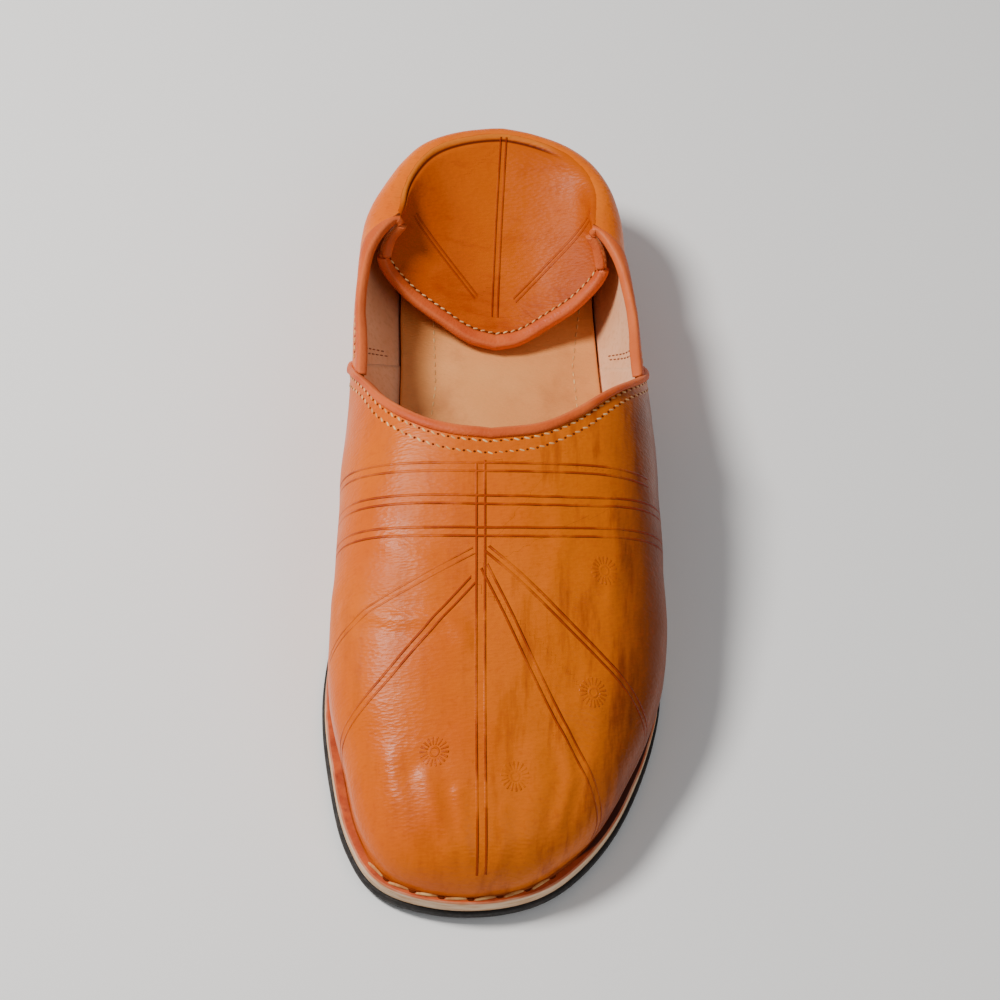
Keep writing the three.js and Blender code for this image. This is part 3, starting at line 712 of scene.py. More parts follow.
def make_quarters(materials):
    walls = 1 - (1 - np.linspace(-TUCK, 1, WALL_ROWS, endpoint=False)) ** 1.2
    turns = np.linspace(0, 1, TURN_ROWS) ** 1.3
    places = np.concatenate([walls, 1 + turns])[:, None]
    columns = np.linspace(0, 1, WALL_COLUMNS)
    plain = round_heel(lambda side: wall_point(side, places, columns[None], STEP))
    inner = round_heel(lambda side: wall_point(side, np.maximum(places, 0), columns[None], VAMP_WALL))
    shape = uneven(plain, QUARTER_WAVES)
    shape *= np.clip(columns / 0.3, 0, 1) * np.clip((1 - columns) / 0.15, 0, 1)
    outer = plain + grid_normals(plain, True) * shape[..., None]
    piece = Pieces()
    piece.grid(outer, 0, False, {"wall": packed(np.broadcast_to(columns, shape.shape))})
    piece.grid(inner, 1, True)
    piece.grid(np.stack([plain[:, 0], inner[:, 0]], axis=1), 2, True)
    for row, turned in ((0, False), (-1, True)):
        piece.grid(np.stack([plain[row], inner[row]], axis=0), 2, turned)

    folds = np.linspace(0, 1, FLAP_COLUMNS)
    flap = round_heel(lambda side: flap_point(side, turns[:, None], folds[None]))
    normals = grid_normals(flap, True)
    normals[0] = normals[1]
    normals[-1] = normals[-2]
    from_crest = np.cumsum(np.linalg.norm(np.diff(flap, axis=1, prepend=flap[:, :1]), axis=-1), axis=1)
    length = from_crest[:, -1:]
    creased = np.clip((length - 8) / 14, 0, 1)
    creased = creased * smooth_step(-flap[:, :1, 0], -CREASE_END, -CREASE_END + 10)
    shape = uneven(flap, FLAP_WAVES)
    shape *= np.clip(from_crest / 9, 0, 1) * np.clip((length - from_crest) / 6, 0, 1)
    shape += crest_crease(from_crest, creased)
    shape[:, 0] = 0
    plan_lines = [smoothed(np.array(points, float)) for points in FLAP_LINES.values()]
    crease = np.where(creased > 0.02, from_crest - CREST_CREASE, FAR)
    marks = {
        "lines": packed(*(line_distance(flap[..., :2], line) for line in plan_lines)),
        "crease": packed(crease, from_crest, creased),
    }
    top = flap + normals * shape[..., None]
    under = flap - normals * QUARTER_WALL
    under[:, 0] = inner[WALL_ROWS : len(inner) - WALL_ROWS, -1]
    piece.grid(top, 3, False, marks)
    piece.grid(under, 1, True)
    piece.grid(np.stack([top[:, -1], under[:, -1]], axis=1), 2)
    for wall in (slice(0, WALL_ROWS + 1), slice(len(plain) - WALL_ROWS - 1, None)):
        piece.grid(np.stack([plain[wall, -1], inner[wall, -1]], axis=1), 2)
    piece.make("quarter_leather", "tan_leather", materials, "upper")


def tube(spines, normals, intos, sections, turned):
    """A strip: one closed section at each point of its spine, given as heights and depths."""
    sections = np.concatenate([sections, sections[:, :1]], axis=1)
    rings = spines[:, None] + normals[:, None] * sections[..., :1] + intos[:, None] * sections[..., 1:]
    marks = packed(sections[..., 1])
    piece = Pieces()
    piece.grid(rings, 0, turned, {"strip": marks})
    for row, flip in ((0, not turned), (-1, turned)):
        centre = np.broadcast_to(rings[row, :-1].mean(axis=0), rings[row].shape)
        end_marks = np.stack([marks[row], marks[row]])
        piece.grid(np.stack([rings[row], centre]), 0, flip, {"strip": end_marks})
    return piece


BINDING_WAVINESS = 0.08  # how far its height strays, as a share


def binding_sections(wrap, narrow, points, seed):
    """Sections of a binding: wrap is 0 for a lapped strip and 1 for a wrapped one."""
    _, rows = read_table(BINDING_SECTION)
    sections = lerp(rows[None, :, 2:], rows[None, :, :2], wrap[:, None, None])
    depth = sections[..., 1]
    sections[..., 1] = np.where(depth > 0, depth * narrow[:, None], depth)
    sections[..., 0] *= 1 + BINDING_WAVINESS * waves(points, 6.0, seed)[:, None]
    return sections


VAMP_BINDING_STEPS = 90
THROAT_WIDTH = 0.72  # width of the vamp's binding, as a share of the section's


def make_vamp_binding(material):
    columns = np.linspace(0, 2, VAMP_BINDING_STEPS)

    def rim(station, inset):
        row = both_sides(lambda side, c: vamp_point(side, [[station]], c[None], inset), columns)
        return row[0]

    edge, inner, before = rim(1.0, 0.0), rim(1.0, VAMP_WALL), rim(0.985, 0.0)
    along = np.concatenate([columns, columns[::-1][1:]])
    narrow = np.full(len(along), THROAT_WIDTH)
    sections = binding_sections(smooth_step(along, 1.0, 1.14), narrow, edge, 7.7)
    piece = tube(edge, unit(edge - inner), unit(before - edge), sections, False)
    piece.make("vamp_binding_strip", "binding_leather", [material], "vamp_binding")


EAR_NARROWING = 12
EAR_WIDTH = 0.6
FOLD_EAR_WIDTH = 0.3  # beside the ears the fold's binding is narrow, behind the quarter's
EAR_WRAP, EDGE_WRAP = 0.35, 0.75  # how far the binding wraps the edge at the ears and elsewhere
FOLD_WIDENING = (6, 20)


def quarter_edge(side):
    """Edge of one quarter and its half of the folded back, with its normals and inward directions."""
    walls = 1 - (1 - np.linspace(0.012, 1, 70, endpoint=False)) ** 1.3
    turns = np.linspace(0, 1, 90) ** 1.3
    edge = wall_point(side, walls, 1.0, STEP)
    lining = wall_point(side, walls, 1.0, VAMP_WALL)
    below = wall_point(side, walls, 0.96, STEP)
    flap = flap_point(side, turns, 1.0)
    behind = flap_point(side, turns, 0.97)
    tangent = np.gradient(flap, axis=0) * side
    flap_into = unit(behind - flap)
    flap_into[0] = flap_into[1]
    flap_normal = unit(np.cross(tangent, flap_into))
    flap_normal = np.where(flap_normal[:, 2:] < 0, -flap_normal, flap_normal)
    return (
        np.concatenate([edge, flap]),
        np.concatenate([unit(edge - lining), flap_normal]),
        np.concatenate([unit(below - edge), flap_into]),
        len(walls),
    )


def half_binding(side):
    """Rows of one half of the quarters' binding: spine, normals, inward directions, width and wrap."""
    edge, normals, intos, ear = quarter_edge(side)
    length = np.linalg.norm(np.diff(edge, axis=0), axis=-1)
    along = np.concatenate([[0], np.cumsum(length)])
    near = np.abs(along - along[ear])
    on_fold = lerp(FOLD_EAR_WIDTH, 1, smooth_step(near, *FOLD_WIDENING))
    on_wall = lerp(EAR_WIDTH, 1, smooth_step(near, 0, EAR_NARROWING))
    narrow = np.where(along > along[ear], on_fold, on_wall)
    wrap = lerp(EAR_WRAP, EDGE_WRAP, smooth_step(near, 0, 3))
    return np.concatenate([edge, normals, intos, packed(narrow, wrap)], axis=1)


def make_quarter_binding(material):
    edge, normals, intos, looks = np.split(round_heel(half_binding), 4, axis=1)
    sections = binding_sections(looks[:, 1], looks[:, 0], edge, 2.9)
    piece = tube(edge, normals, intos, sections, True)
    piece.make("quarter_binding_strip", "binding_leather", [material], "quarter_binding")


SOLE_ROWS = 220
SHEET_STEPS = 10
RIM_RINGS = np.array([0, 0.7, 1.4, 2.1, 2.8, 3.5, 4.2, 5, 6])  # distances in from the top corner

# Profiles of the sole's layers up their edge: height as a share of the thickness, and how far each
# level is set in from the outermost one.
OUTSOLE_PROFILE = """
height  inset
0       0.9
0.12    0.35
0.3     0.05
0.7     0
0.9     0.1
1       0.3
"""
MIDSOLE_PROFILE = """
height  inset
0       0.15
0.1     0
0.45    0.05
0.85    0
0.94    0.12
0.98    0.3
1       0.6
"""
INSOLE_PROFILE = """
height  inset
0       0
0.6     0
0.9     0.15
1       0.6
"""


def make_layer(name, slot, materials, node, base, thickness, inset, profile, wear=0.0):
    """A layer of the sole with a rounded edge; its top runs in to the centre line in steps."""
    shares = (1 - np.cos(np.linspace(0, math.pi, SOLE_ROWS))) / 2
    _, levels = read_table(profile)
    above = len(materials) - 1
    piece = Pieces()

    def outline(side, height, into):
        inset_here = {key: value + into for key, value in inset.items()}
        return sole_edge(side, shares, inset_here, base + thickness * height)

    ends = {}
    for side in SIDES:
        rows = np.stack([outline(side, height, into) for height, into in levels], axis=1)
        worn = wear * waves(rows[:, :1] * [1, 1, 0], 13.0, 6.1)
        rows[..., 0] += worn * side
        marks = packed(np.broadcast_to(levels[:, 0], rows.shape[:2]))
        piece.grid(rows, 0, side == LATERAL, {"layer": marks})
        rim = np.stack([outline(side, 1, levels[-1, 1] + ring) for ring in RIM_RINGS], axis=1)
        rim[:, 0] = rows[:, -1]
        rim_marks = packed(np.ones(rim.shape[:2]), RIM_RINGS)
        piece.grid(rim, above, side == LATERAL, {"layer": rim_marks})
        ends[side] = (rows[:, 0], rim[:, -1])
    sheets = ((0, True, (0.0, 0.0)), (above, False, (1.0, float(RIM_RINGS[-1]))))
    for medial, lateral, (material, turned, mark) in zip(ends[MEDIAL], ends[LATERAL], sheets):
        steps = np.linspace(0, 1, SHEET_STEPS)[None, :, None]
        sheet = lerp(medial[:, None], lateral[:, None], steps)
        share, ring = (np.full(sheet.shape[:2], value) for value in mark)
        piece.grid(sheet, material, turned, {"layer": packed(share, ring)})
    piece.make(name, slot, materials, node)


class Shade:
    """Builds the shading nodes of one material."""

    def __init__(self, name, specular, sheen=0.0):
        self.material = bpy.data.materials.new(name)
        self.material.use_nodes = True
        self.tree = self.material.node_tree
        self.tree.nodes.clear()
        output = self.add("ShaderNodeOutputMaterial", {})
        values = {"Specular IOR Level": specular, "Sheen Weight": sheen}
        self.shader = self.add("ShaderNodeBsdfPrincipled", values)
        self.tree.links.new(self.shader.outputs[0], output.inputs["Surface"])
        self.place = self.add("ShaderNodeTexCoord", {}).outputs["Object"]

    def add(self, kind, inputs, **settings):
        node = self.tree.nodes.new(kind)
        for key, value in settings.items():
            setattr(node, key, value)
        for key, value in inputs.items():
            if isinstance(value, bpy.types.NodeSocket):
                self.tree.links.new(value, node.inputs[key])
            else:
                node.inputs[key].default_value = value
        return node

    def math(self, operation, a, b=0.0):
        return self.add("ShaderNodeMath", {0: a, 1: b}, operation=operation).outputs[0]

    def times(self, a, b):
        return self.math("MULTIPLY", a, b)

    def plus(self, a, b):
        return self.math("ADD", a, b)

    def minus(self, a, b):
        return self.math("SUBTRACT", a, b)

    def most(self, *values):
        result = values[0]
        for value in values[1:]:
            result = self.math("MAXIMUM", result, value)
        return result

    def parts(self, vector):
        return tuple(self.add("ShaderNodeSeparateXYZ", {0: vector}).outputs)

    def mark(self, name):
        """The three numbers of a mark on the mesh."""
        return self.parts(self.add("ShaderNodeAttribute", {}, attribute_name=name).outputs["Vector"])

    def stretched(self, *scale):
        return self.add("ShaderNodeMapping", {0: self.place, "Scale": scale}).outputs[0]

    def noise(self, scale, detail=3.0, vector=None, rough=0.5):
        values = {"Vector": vector or self.place, "Scale": scale, "Detail": detail, "Roughness": rough}
        return self.add("ShaderNodeTexNoise", values).outputs[0]

    def cells(self, scale, vector=None):
        values = {"Vector": vector or self.place, "Scale": scale}
        return self.add("ShaderNodeTexVoronoi", values).outputs["Distance"]

    def step(self, value, low, high, to_low=0.0, to_high=1.0):
        """A soft step from to_low below low to to_high above high."""
        values = {0: value, 1: low, 2: high, 3: to_low, 4: to_high}
        return self.add("ShaderNodeMapRange", values, interpolation_type="SMOOTHSTEP").outputs[0]

    def patches(self, scale, low, high, amount=1.0, detail=4.0, rough=0.5):
        """Patches where noise passes from low to high: none to amount."""
        return self.step(self.noise(scale, detail, None, rough), low, high, 0.0, amount)

    def between(self, value, low, high):
        """A value of 0.3 to 0.7, as most of a noise has, spread from low to high."""
        return self.step(value, 0.3, 0.7, low, high)

    def mix(self, factor, a, b):
        return self.add("ShaderNodeMix", {0: factor, 6: a, 7: b}, data_type="RGBA").outputs[2]

    def mottled(self, scale, a, b, detail=4.0):
        return self.mix(self.between(self.noise(scale, detail), 0.0, 1.0), a, b)

    def double_line(self, distance, apart, width, plain):
        """Two lines that run at half of apart on both sides of a signed distance of 0."""
        off = self.math("ABSOLUTE", self.minus(self.math("ABSOLUTE", distance), apart / 2))
        return self.times(self.step(off, width * 0.25, width * 0.75, 1.0, 0.0), plain)

    def bump(self, height, distance, normal=None, strength=1.0):
        """A normal for a height of 0 to 1 that stands for a distance in millimetres."""
        values = {"Height": height, "Distance": distance / 1000, "Strength": strength}
        if normal is not None:
            values["Normal"] = normal
        return self.add("ShaderNodeBump", values).outputs[0]

    def finish(self, color, roughness, normal):
        for key, value in (("Base Color", color), ("Roughness", roughness), ("Normal", normal)):
            self.tree.links.new(value, self.shader.inputs[key])
        return self.material


DEEPENING = 1.35  # above 1 a colour is purer than it is on the screen, where light washes it out


def rgb(red, green, blue):
    """A linear colour from one as a screen shows it, in 0 to 255."""
    values = [value / 255 for value in (red, green, blue)]
    linear = [v / 12.92 if v <= 0.04045 else ((v + 0.055) / 1.055) ** 2.4 for v in values]
    strongest = max(linear)
    return (*(strongest * (v / strongest) ** DEEPENING for v in linear), 1.0)


GRAIN_DEPTH = 0.16
# colour of the painted shade at the foot of the vamp
FOOT_SHADE = rgb(128, 58, 22)
SPECKLE = rgb(178, 88, 22)
TOOLED = rgb(148, 56, 12)
TOOLED_DEPTH = 0.45


def leather_grain(shade, scale=1.0):
    """Height of a pebbled grain with fine wrinkles across the shoe."""
    pebbles = shade.cells(820 * scale, shade.stretched(0.55, 1.5, 1.0))
    pores = shade.noise(1700 * scale, 2.0)
    wrinkles = shade.noise(420 * scale, 4.0, shade.stretched(0.45, 1.7, 1.0), 0.6)
    height = shade.plus(shade.times(pebbles, 0.9), shade.times(pores, 0.25))
    return shade.plus(height, shade.times(wrinkles, 0.8))


def speckled(shade, color, amount, speckle):
    """A colour with fine speckles of another."""
    return shade.mix(shade.patches(520, 0.5, 0.75, amount, 3.0), color, speckle)


STAMP_STROKES = 18
STAMP_RING = (2.0, 4.5)  # radii of the ring of strokes
STAMP_CORE = 1.3  # radius of the small ring inside it
STAMP_SOFTNESS = 0.3


def rosettes(shade):
    """A ring of short strokes round a small ring, stamped unevenly."""
    x, y, plain = shade.mark("stamp")
    radius = shade.math("SQRT", shade.plus(shade.math("POWER", x, 2.0), shade.math("POWER", y, 2.0)))
    turns = shade.times(shade.math("ARCTAN2", y, x), float(STAMP_STROKES))
    strokes = shade.step(shade.math("COSINE", turns), 0.1, 0.6)
    inner, outer = STAMP_RING
    ring = shade.times(
        shade.step(radius, inner, inner + STAMP_SOFTNESS),
        shade.step(radius, outer - STAMP_SOFTNESS, outer, 1.0, 0.0),
    )
    from_core = shade.math("ABSOLUTE", shade.minus(radius, STAMP_CORE))
    core = shade.step(from_core, 0.15, 0.4, 0.6, 0.0)
    stamp = shade.times(shade.most(shade.times(ring, strokes), core), plain)
    return shade.times(stamp, shade.step(shade.noise(140), 0.35, 0.6, 0.25, 1.0))


def vamp_color(shade, over):
    """Orange on the inner side and more golden towards the little toe, with patina and painted shade."""
    across = shade.mark("across")[0]
    drift = shade.plus(across, shade.times(shade.noise(14, 2.0), 60.0))
    color = shade.mix(shade.step(drift, 8.0, 60.0), rgb(214, 118, 14), rgb(208, 122, 10))
    color = shade.mix(shade.patches(28, 0.35, 0.7, 0.45), color, rgb(224, 134, 16))
    streaks = shade.noise(160, 4.0, shade.stretched(1.0, 0.16, 0.3), 0.65)
    # Streaks of patina, which grow towards the little toe, where they also stand in for painted shade.
    patina_and_shade = shade.times(shade.step(streaks, 0.48, 0.72), shade.step(drift, 20.0, 70.0, 0.2, 0.75))
    color = shade.mix(patina_and_shade, color, rgb(142, 68, 18))
    # Painted shade darkens the flank beside the little toe, which faces away from the key light.
    shaded_flank = shade.plus(across, shade.times(streaks, 16.0))
    color = shade.mix(shade.step(shaded_flank, 42.0, 64.0, 0.0, 0.84), color, rgb(104, 54, 24))
    color = speckled(shade, color, 0.22, SPECKLE)
    # Painted shade, broken up by noise, darkens the foot of the vamp above the sole.
    foot_shade = shade.step(over, 0.03, 0.5, 0.9, 0.0)
    foot_shade = shade.times(foot_shade, shade.step(shade.noise(60), 0.2, 0.7, 0.5, 1.0))
    return shade.mix(foot_shade, color, FOOT_SHADE)


def vamp_material():
    shade = Shade("vamp_leather", 0.15)
    *distances, over = [value for name in LINE_MARKS for value in shade.mark(name)]
    lines = shade.most(
        *(shade.double_line(distance, *look) for distance, look in zip(distances, LINE_LOOKS.values()))
    )
    # The lines are pressed unevenly, so that they fade here and there.
    lines = shade.times(lines, shade.step(shade.noise(75, 4.0), 0.36, 0.6, 0.3, 1.0))
    stamp = rosettes(shade)
    color = shade.mix(shade.times(lines, 0.82), vamp_color(shade, over), TOOLED)
    color = shade.mix(shade.times(stamp, 0.62), color, rgb(160, 66, 16))
    roughness = shade.step(shade.noise(34), 0.35, 0.65, 0.29, 0.43)
    roughness = shade.plus(roughness, shade.times(lines, 0.15))
    grain = shade.bump(leather_grain(shade), GRAIN_DEPTH, strength=0.6)
    pressed_in = shade.times(shade.most(lines, shade.times(stamp, 0.8)), -1.0)
    return shade.finish(color, roughness, shade.bump(pressed_in, TOOLED_DEPTH, grain))


def quarter_material():
    shade = Shade("quarter_leather", 0.15)
    over = shade.mark("wall")[0]
    color = shade.mottled(26, rgb(236, 138, 20), rgb(222, 122, 14))
    color = speckled(shade, color, 0.25, rgb(160, 78, 22))
    # Painted shade darkens the foot of the wall, above the sole.
    color = shade.mix(shade.step(over, 0.0, 0.4, 0.7, 0.0), color, rgb(120, 56, 22))
    worn = shade.times(shade.step(over, 0.86, 0.99, 0.0, 0.5), shade.patches(90, 0.3, 0.6))
    color = shade.mix(worn, color, rgb(226, 138, 48))
    roughness = shade.between(shade.noise(40), 0.34, 0.48)
    grain = shade.bump(leather_grain(shade), GRAIN_DEPTH, strength=0.75)
    return shade.finish(color, roughness, grain)


TIP_DARK = (0.074, 0.096)  # from where to where along the shoe the fold's tip is darker, in metres


def flap_material():
    shade = Shade("folded_leather", 0.11)
    crease, from_crest, creased = shade.mark("crease")
    lines = shade.most(
        *(shade.double_line(d, *look) for d, look in zip(shade.mark("lines"), FLAP_LINE_LOOKS.values()))
    )
    lines = shade.times(lines, shade.step(shade.noise(55), 0.3, 0.55, 0.6, 1.0))
    color = shade.mottled(22, rgb(200, 112, 2), rgb(180, 94, 2))
    streaks = shade.noise(150, 4.0, shade.stretched(0.5, 1.4, 1.0), 0.65)
    color = shade.mix(shade.step(streaks, 0.5, 0.75, 0.0, 0.4), color, rgb(160, 76, 10))
    y = shade.parts(shade.place)[1]
    tip = shade.times(shade.step(y, *TIP_DARK, 0.55, 0.0), shade.step(streaks, 0.35, 0.65))
    color = shade.mix(tip, color, rgb(150, 66, 12))
    # The crest is worn light up to its crease, which is painted dark with the shade that falls in it.
    rim = shade.step(from_crest, CREST_CREASE - 1.2, CREST_CREASE - 0.4, 0.6, 0.0)
    color = shade.mix(shade.times(rim, creased), color, rgb(222, 146, 60))
    crease_shade = shade.step(shade.math("ABSOLUTE", crease), 0.2, 0.75, 0.95, 0.0)
    color = shade.mix(shade.times(crease_shade, creased), color, rgb(92, 38, 12))
    color = shade.mix(shade.times(lines, 0.8), color, rgb(136, 52, 8))
    roughness = shade.between(shade.noise(40), 0.36, 0.5)
    grain = shade.bump(leather_grain(shade), GRAIN_DEPTH, strength=0.7)
    return shade.finish(color, roughness, shade.bump(shade.times(lines, -1.0), 0.4, grain))


def lining_material():
    shade = Shade("lining_leather", 0.25, 0.15)
    color = shade.mottled(30, rgb(246, 206, 172), rgb(232, 184, 146))
    color = shade.mix(shade.patches(600, 0.45, 0.75, 0.35), color, rgb(206, 152, 112))
    roughness = shade.between(shade.noise(50, 2.0), 0.72, 0.88)
    return shade.finish(color, roughness, shade.bump(shade.noise(900, 4.0), 0.12))


def cut_material():
    """A raw edge of leather, with its layers of fibre along it."""
    shade = Shade("cut_leather", 0.25)
    fibres = shade.noise(500, 4.0, shade.stretched(0.4, 0.4, 3.0), 0.6)
    color = shade.mix(shade.step(fibres, 0.35, 0.7), rgb(196, 126, 76), rgb(150, 84, 44))
    return shade.finish(color, shade.between(fibres, 0.65, 0.85), shade.bump(fibres, 0.2))


def binding_material():
    shade = Shade("binding_leather", 0.2)
    depth = shade.mark("strip")[0]
    color = shade.mottled(60, rgb(214, 120, 64), rgb(192, 96, 48))
    # It is worn light where it turns round the edge and dark at its cut end.
    worn = shade.step(shade.math("ABSOLUTE", shade.plus(depth, 0.6)), 0.2, 1.2, 0.35, 0.0)
    color = shade.mix(worn, color, rgb(224, 146, 100))
    color = shade.mix(shade.step(depth, 3.0, 3.7, 0.0, 0.55), color, rgb(150, 70, 36))
    roughness = shade.between(shade.noise(70), 0.42, 0.6)
    height = shade.plus(shade.noise(1100), shade.times(shade.cells(900), 0.6))
    return shade.finish(color, roughness, shade.bump(height, 0.12))


def insole_material():
    shade = Shade("insole_leather", 0.35)
    color = shade.mottled(18, rgb(240, 184, 126), rgb(224, 164, 106), 3.0)
    color = shade.mix(shade.patches(60, 0.45, 0.8, 0.5, 5.0, 0.6), color, rgb(178, 118, 72))
    roughness = shade.between(shade.noise(50), 0.45, 0.62)
    return shade.finish(color, roughness, shade.bump(leather_grain(shade, 1.3), 0.1))


def midsole_edge_material():
    shade = Shade("sole_edge", 0.3)
    share = shade.mark("layer")[0]
    fibres = shade.noise(320, 5.0, shade.stretched(0.35, 0.35, 3.5), 0.6)
    color = shade.mix(shade.step(fibres, 0.35, 0.7), rgb(232, 208, 182), rgb(206, 172, 138))
    stain = shade.step(share, 0.86, 0.97, 0.0, 0.85)
    stain = shade.times(stain, shade.step(shade.noise(120, 4.0), 0.25, 0.6, 0.6, 1.0))
    color = shade.mix(stain, color, rgb(190, 98, 44))
    color = shade.mix(shade.patches(36, 0.5, 0.75, 0.4, 5.0), color, rgb(150, 116, 88))
    return shade.finish(color, shade.between(fibres, 0.6, 0.8), shade.bump(fibres, 0.25))


# The dark of the crevice is a painted shadow.
CREVICE_SHADOW_START = 2.9  # distance from the ledge's edge where the dark of the crevice starts
CREVICE_SPREAD = 3.8  # how much nearer to the edge it starts beside the little toe


def ledge_material():
    shade = Shade("stained_and_shaded_ledge", 0.35)
    patches = shade.noise(120, 5.0, None, 0.65)
    color = shade.mix(shade.between(patches, 0.0, 1.0), rgb(204, 110, 50), rgb(164, 76, 30))
    color = shade.mix(shade.patches(420, 0.55, 0.8, 0.6), color, rgb(120, 52, 22))
    # The ledge is painted dark with the shadow that the overhanging upper casts into the crevice, mostly
    # beside the little toe.
    x, y, _ = shade.parts(shade.place)
    outside = shade.times(shade.step(x, 0.0, 0.02), shade.step(y, -0.133, -0.112))
    start = shade.minus(CREVICE_SHADOW_START, shade.times(outside, CREVICE_SPREAD))
    start = shade.plus(start, shade.times(shade.noise(160, 2.0), 0.5))
    deep = shade.minus(shade.mark("layer")[1], start)
    color = shade.mix(shade.step(deep, -0.2, 0.6, 0.0, 0.92), color, rgb(46, 20, 10))
    return shade.finish(color, shade.between(patches, 0.5, 0.7), shade.bump(patches, 0.3))


def rubber_material():
    shade = Shade("sole_rubber", 0.35)
    color = shade.mix(shade.patches(90, 0.45, 0.75, 0.5, 5.0), rgb(36, 33, 32), rgb(78, 72, 68))
    grit = shade.noise(700, 4.0)
    return shade.finish(color, shade.between(grit, 0.6, 0.8), shade.bump(grit, 0.15))


def thread_material(name, light, dark):
    shade = Shade(name, 0.35, 0.2)
    color = shade.mix(shade.patches(200, 0.35, 0.65, detail=3.0), light, dark)
    twist = shade.noise(2200, 2.0, shade.stretched(1.0, 1.0, 1.6))
    return shade.finish(color, shade.between(twist, 0.55, 0.75), shade.bump(twist, 0.1))


def hole_material():
    shade = Shade("needle_holes", 0.1)
    depth = shade.noise(300, 2.0)
    # The dark of the holes is painted shade that stands in for their depth.
    color = shade.mix(depth, rgb(84, 40, 16), rgb(120, 58, 22))
    return shade.finish(color, shade.between(depth, 0.8, 0.95), shade.bump(depth, 0.05))


STITCH_RINGS = 6
STITCH_SPOKES = 7

# Kinds of stitch: pitch, size of the thread as length, width and height, its slant in degrees, its
# lift off the leather and how far its ends sink, then size and lift of the needle hole between two
STITCHES = {
    "throat": (3.3, (2.1, 0.85, 0.6), 24, 0.16, 0, (0.9, 0.85, 0.4), 0.04),
    "fold": (2.6, (1.7, 0.7, 0.6), 18, 0.15, 0, (0.8, 0.75, 0.3), 0.02),
    "collar": (3.3, (2.1, 0.8, 0.6), 15, 0.15, 0, (0.9, 0.8, 0.4), 0.03),
    "lining": (2.6, (1.8, 0.6, 0.4), 0, 0.08, 0, None, 0),
    "insole": (3.4, (2.2, 0.6, 0.4), 0, 0.05, 0, None, 0),
    "toe": (8.8, (7.0, 1.1, 0.9), 5, 0.3, 0.7, (2.2, 1.3, 0.5), 0.05),
}


def at_places(path, places):
    """Points of a path at places counted in its points."""
    i = np.minimum(places.astype(int), len(path) - 2)
    return lerp(path[i], path[i + 1], (places - i)[:, None])


def add_stitches(piece, centres, alongs, ups, size, sag, material):
    """Adds one short rounded thread at each centre; size is its length, width and height."""
    long, wide, high = (value / 2 for value in size)
    rings = np.linspace(0, math.pi, STITCH_RINGS)
    spokes = np.linspace(0, 2 * math.pi, STITCH_SPOKES)
    run = -np.cos(rings)[:, None] + 0 * spokes[None]
    bulge = np.sin(rings)[:, None] ** 0.6
    across = bulge * np.cos(spokes)[None]
    rise = bulge * np.sin(spokes)[None] - sag * run**2
    for centre, along, up in zip(centres, unit(alongs), unit(ups)):
        side = np.cross(up, along)
        points = centre + run[..., None] * along * long
        points = points + across[..., None] * side * wide + rise[..., None] * up * high
        piece.grid(points, material, True)


def sew(piece, kind, path, ups, start=0.0):
    """A row of stitches along a path, with needle holes between them where the kind has them."""
    pitch, size, slant, lift, sag, hole, hole_lift = STITCHES[kind]
    length = np.concatenate([[0], np.cumsum(np.linalg.norm(np.diff(path, axis=0), axis=-1))])
    rows = [(start, size, math.radians(slant), lift, sag, 0)]
    if hole:
        rows.append((start + pitch / 2, hole, 0.0, hole_lift, 0, 1))
    for first, shape, turn, height, sunk, material in rows:
        count = int((length[-1] - first) // pitch)
        reached = first + pitch * (np.arange(count) + 0.5)
        places = np.interp(reached, length, np.arange(len(path)))
        alongs = unit(at_places(np.gradient(path, axis=0), places))
        normals = unit(at_places(ups, places))
        directions = alongs * math.cos(turn) + np.cross(normals, alongs) * math.sin(turn)
        centres = at_places(path, places) + normals * height
        add_stitches(piece, centres, directions, normals, shape, sunk, material)


def line_at(rows, distance, values=None):
    """Points, or other values, of each row at a distance along it from its start."""
    values = rows if values is None else values
    steps = np.linalg.norm(np.diff(rows, axis=1), axis=-1)
    reach = np.concatenate([np.zeros((len(rows), 1)), np.cumsum(steps, axis=1)], axis=1)
    places = [np.interp(distance, row, np.arange(len(row))) for row in reach]
    return np.array([at_places(row, np.array([place]))[0] for row, place in zip(values, places)])


THROAT_ROWS = (3.7, 7.6)  # distances of the rows in front of the vamp's rear edge


def make_throat_stitches(materials):
    stations = np.linspace(1, 0.6, 60)[:, None]
    columns = np.linspace(0.12, 2, 110)
    rows = both_sides(lambda side, c: vamp_point(side, stations, c[None]), columns)
    normals = grid_normals(rows, True).swapaxes(0, 1)
    rows = rows.swapaxes(0, 1)
    piece = Pieces()
    for row, distance in enumerate(THROAT_ROWS):
        start = row * STITCHES["throat"][0] / 2
        sew(piece, "throat", line_at(rows, distance), line_at(rows, distance, normals), start)
    piece.make("throat_stitches", "tan_leather", materials, "upper")


FLAP_ROW = 4.5  # distance of the row from the fold's edge


def make_flap_stitches(materials):
    turns = np.linspace(0.1, 1, 80)[:, None]
    folds = np.linspace(1, 0.2, 60)[None]
    rows = round_heel(lambda side: flap_point(side, turns, folds))
    path, ahead = line_at(rows, FLAP_ROW), line_at(rows, FLAP_ROW - 1)
    ups = unit(np.cross(np.gradient(path, axis=0), path - ahead))
    ups = np.where(ups[:, 2:] < 0, -ups, ups)
    piece = Pieces()
    sew(piece, "fold", path, ups)
    piece.make("fold_stitches", "tan_leather", materials, "upper")


COLLAR_ROW = 0.9  # height of the stitches on the outside of the quarters, as a share of the wall


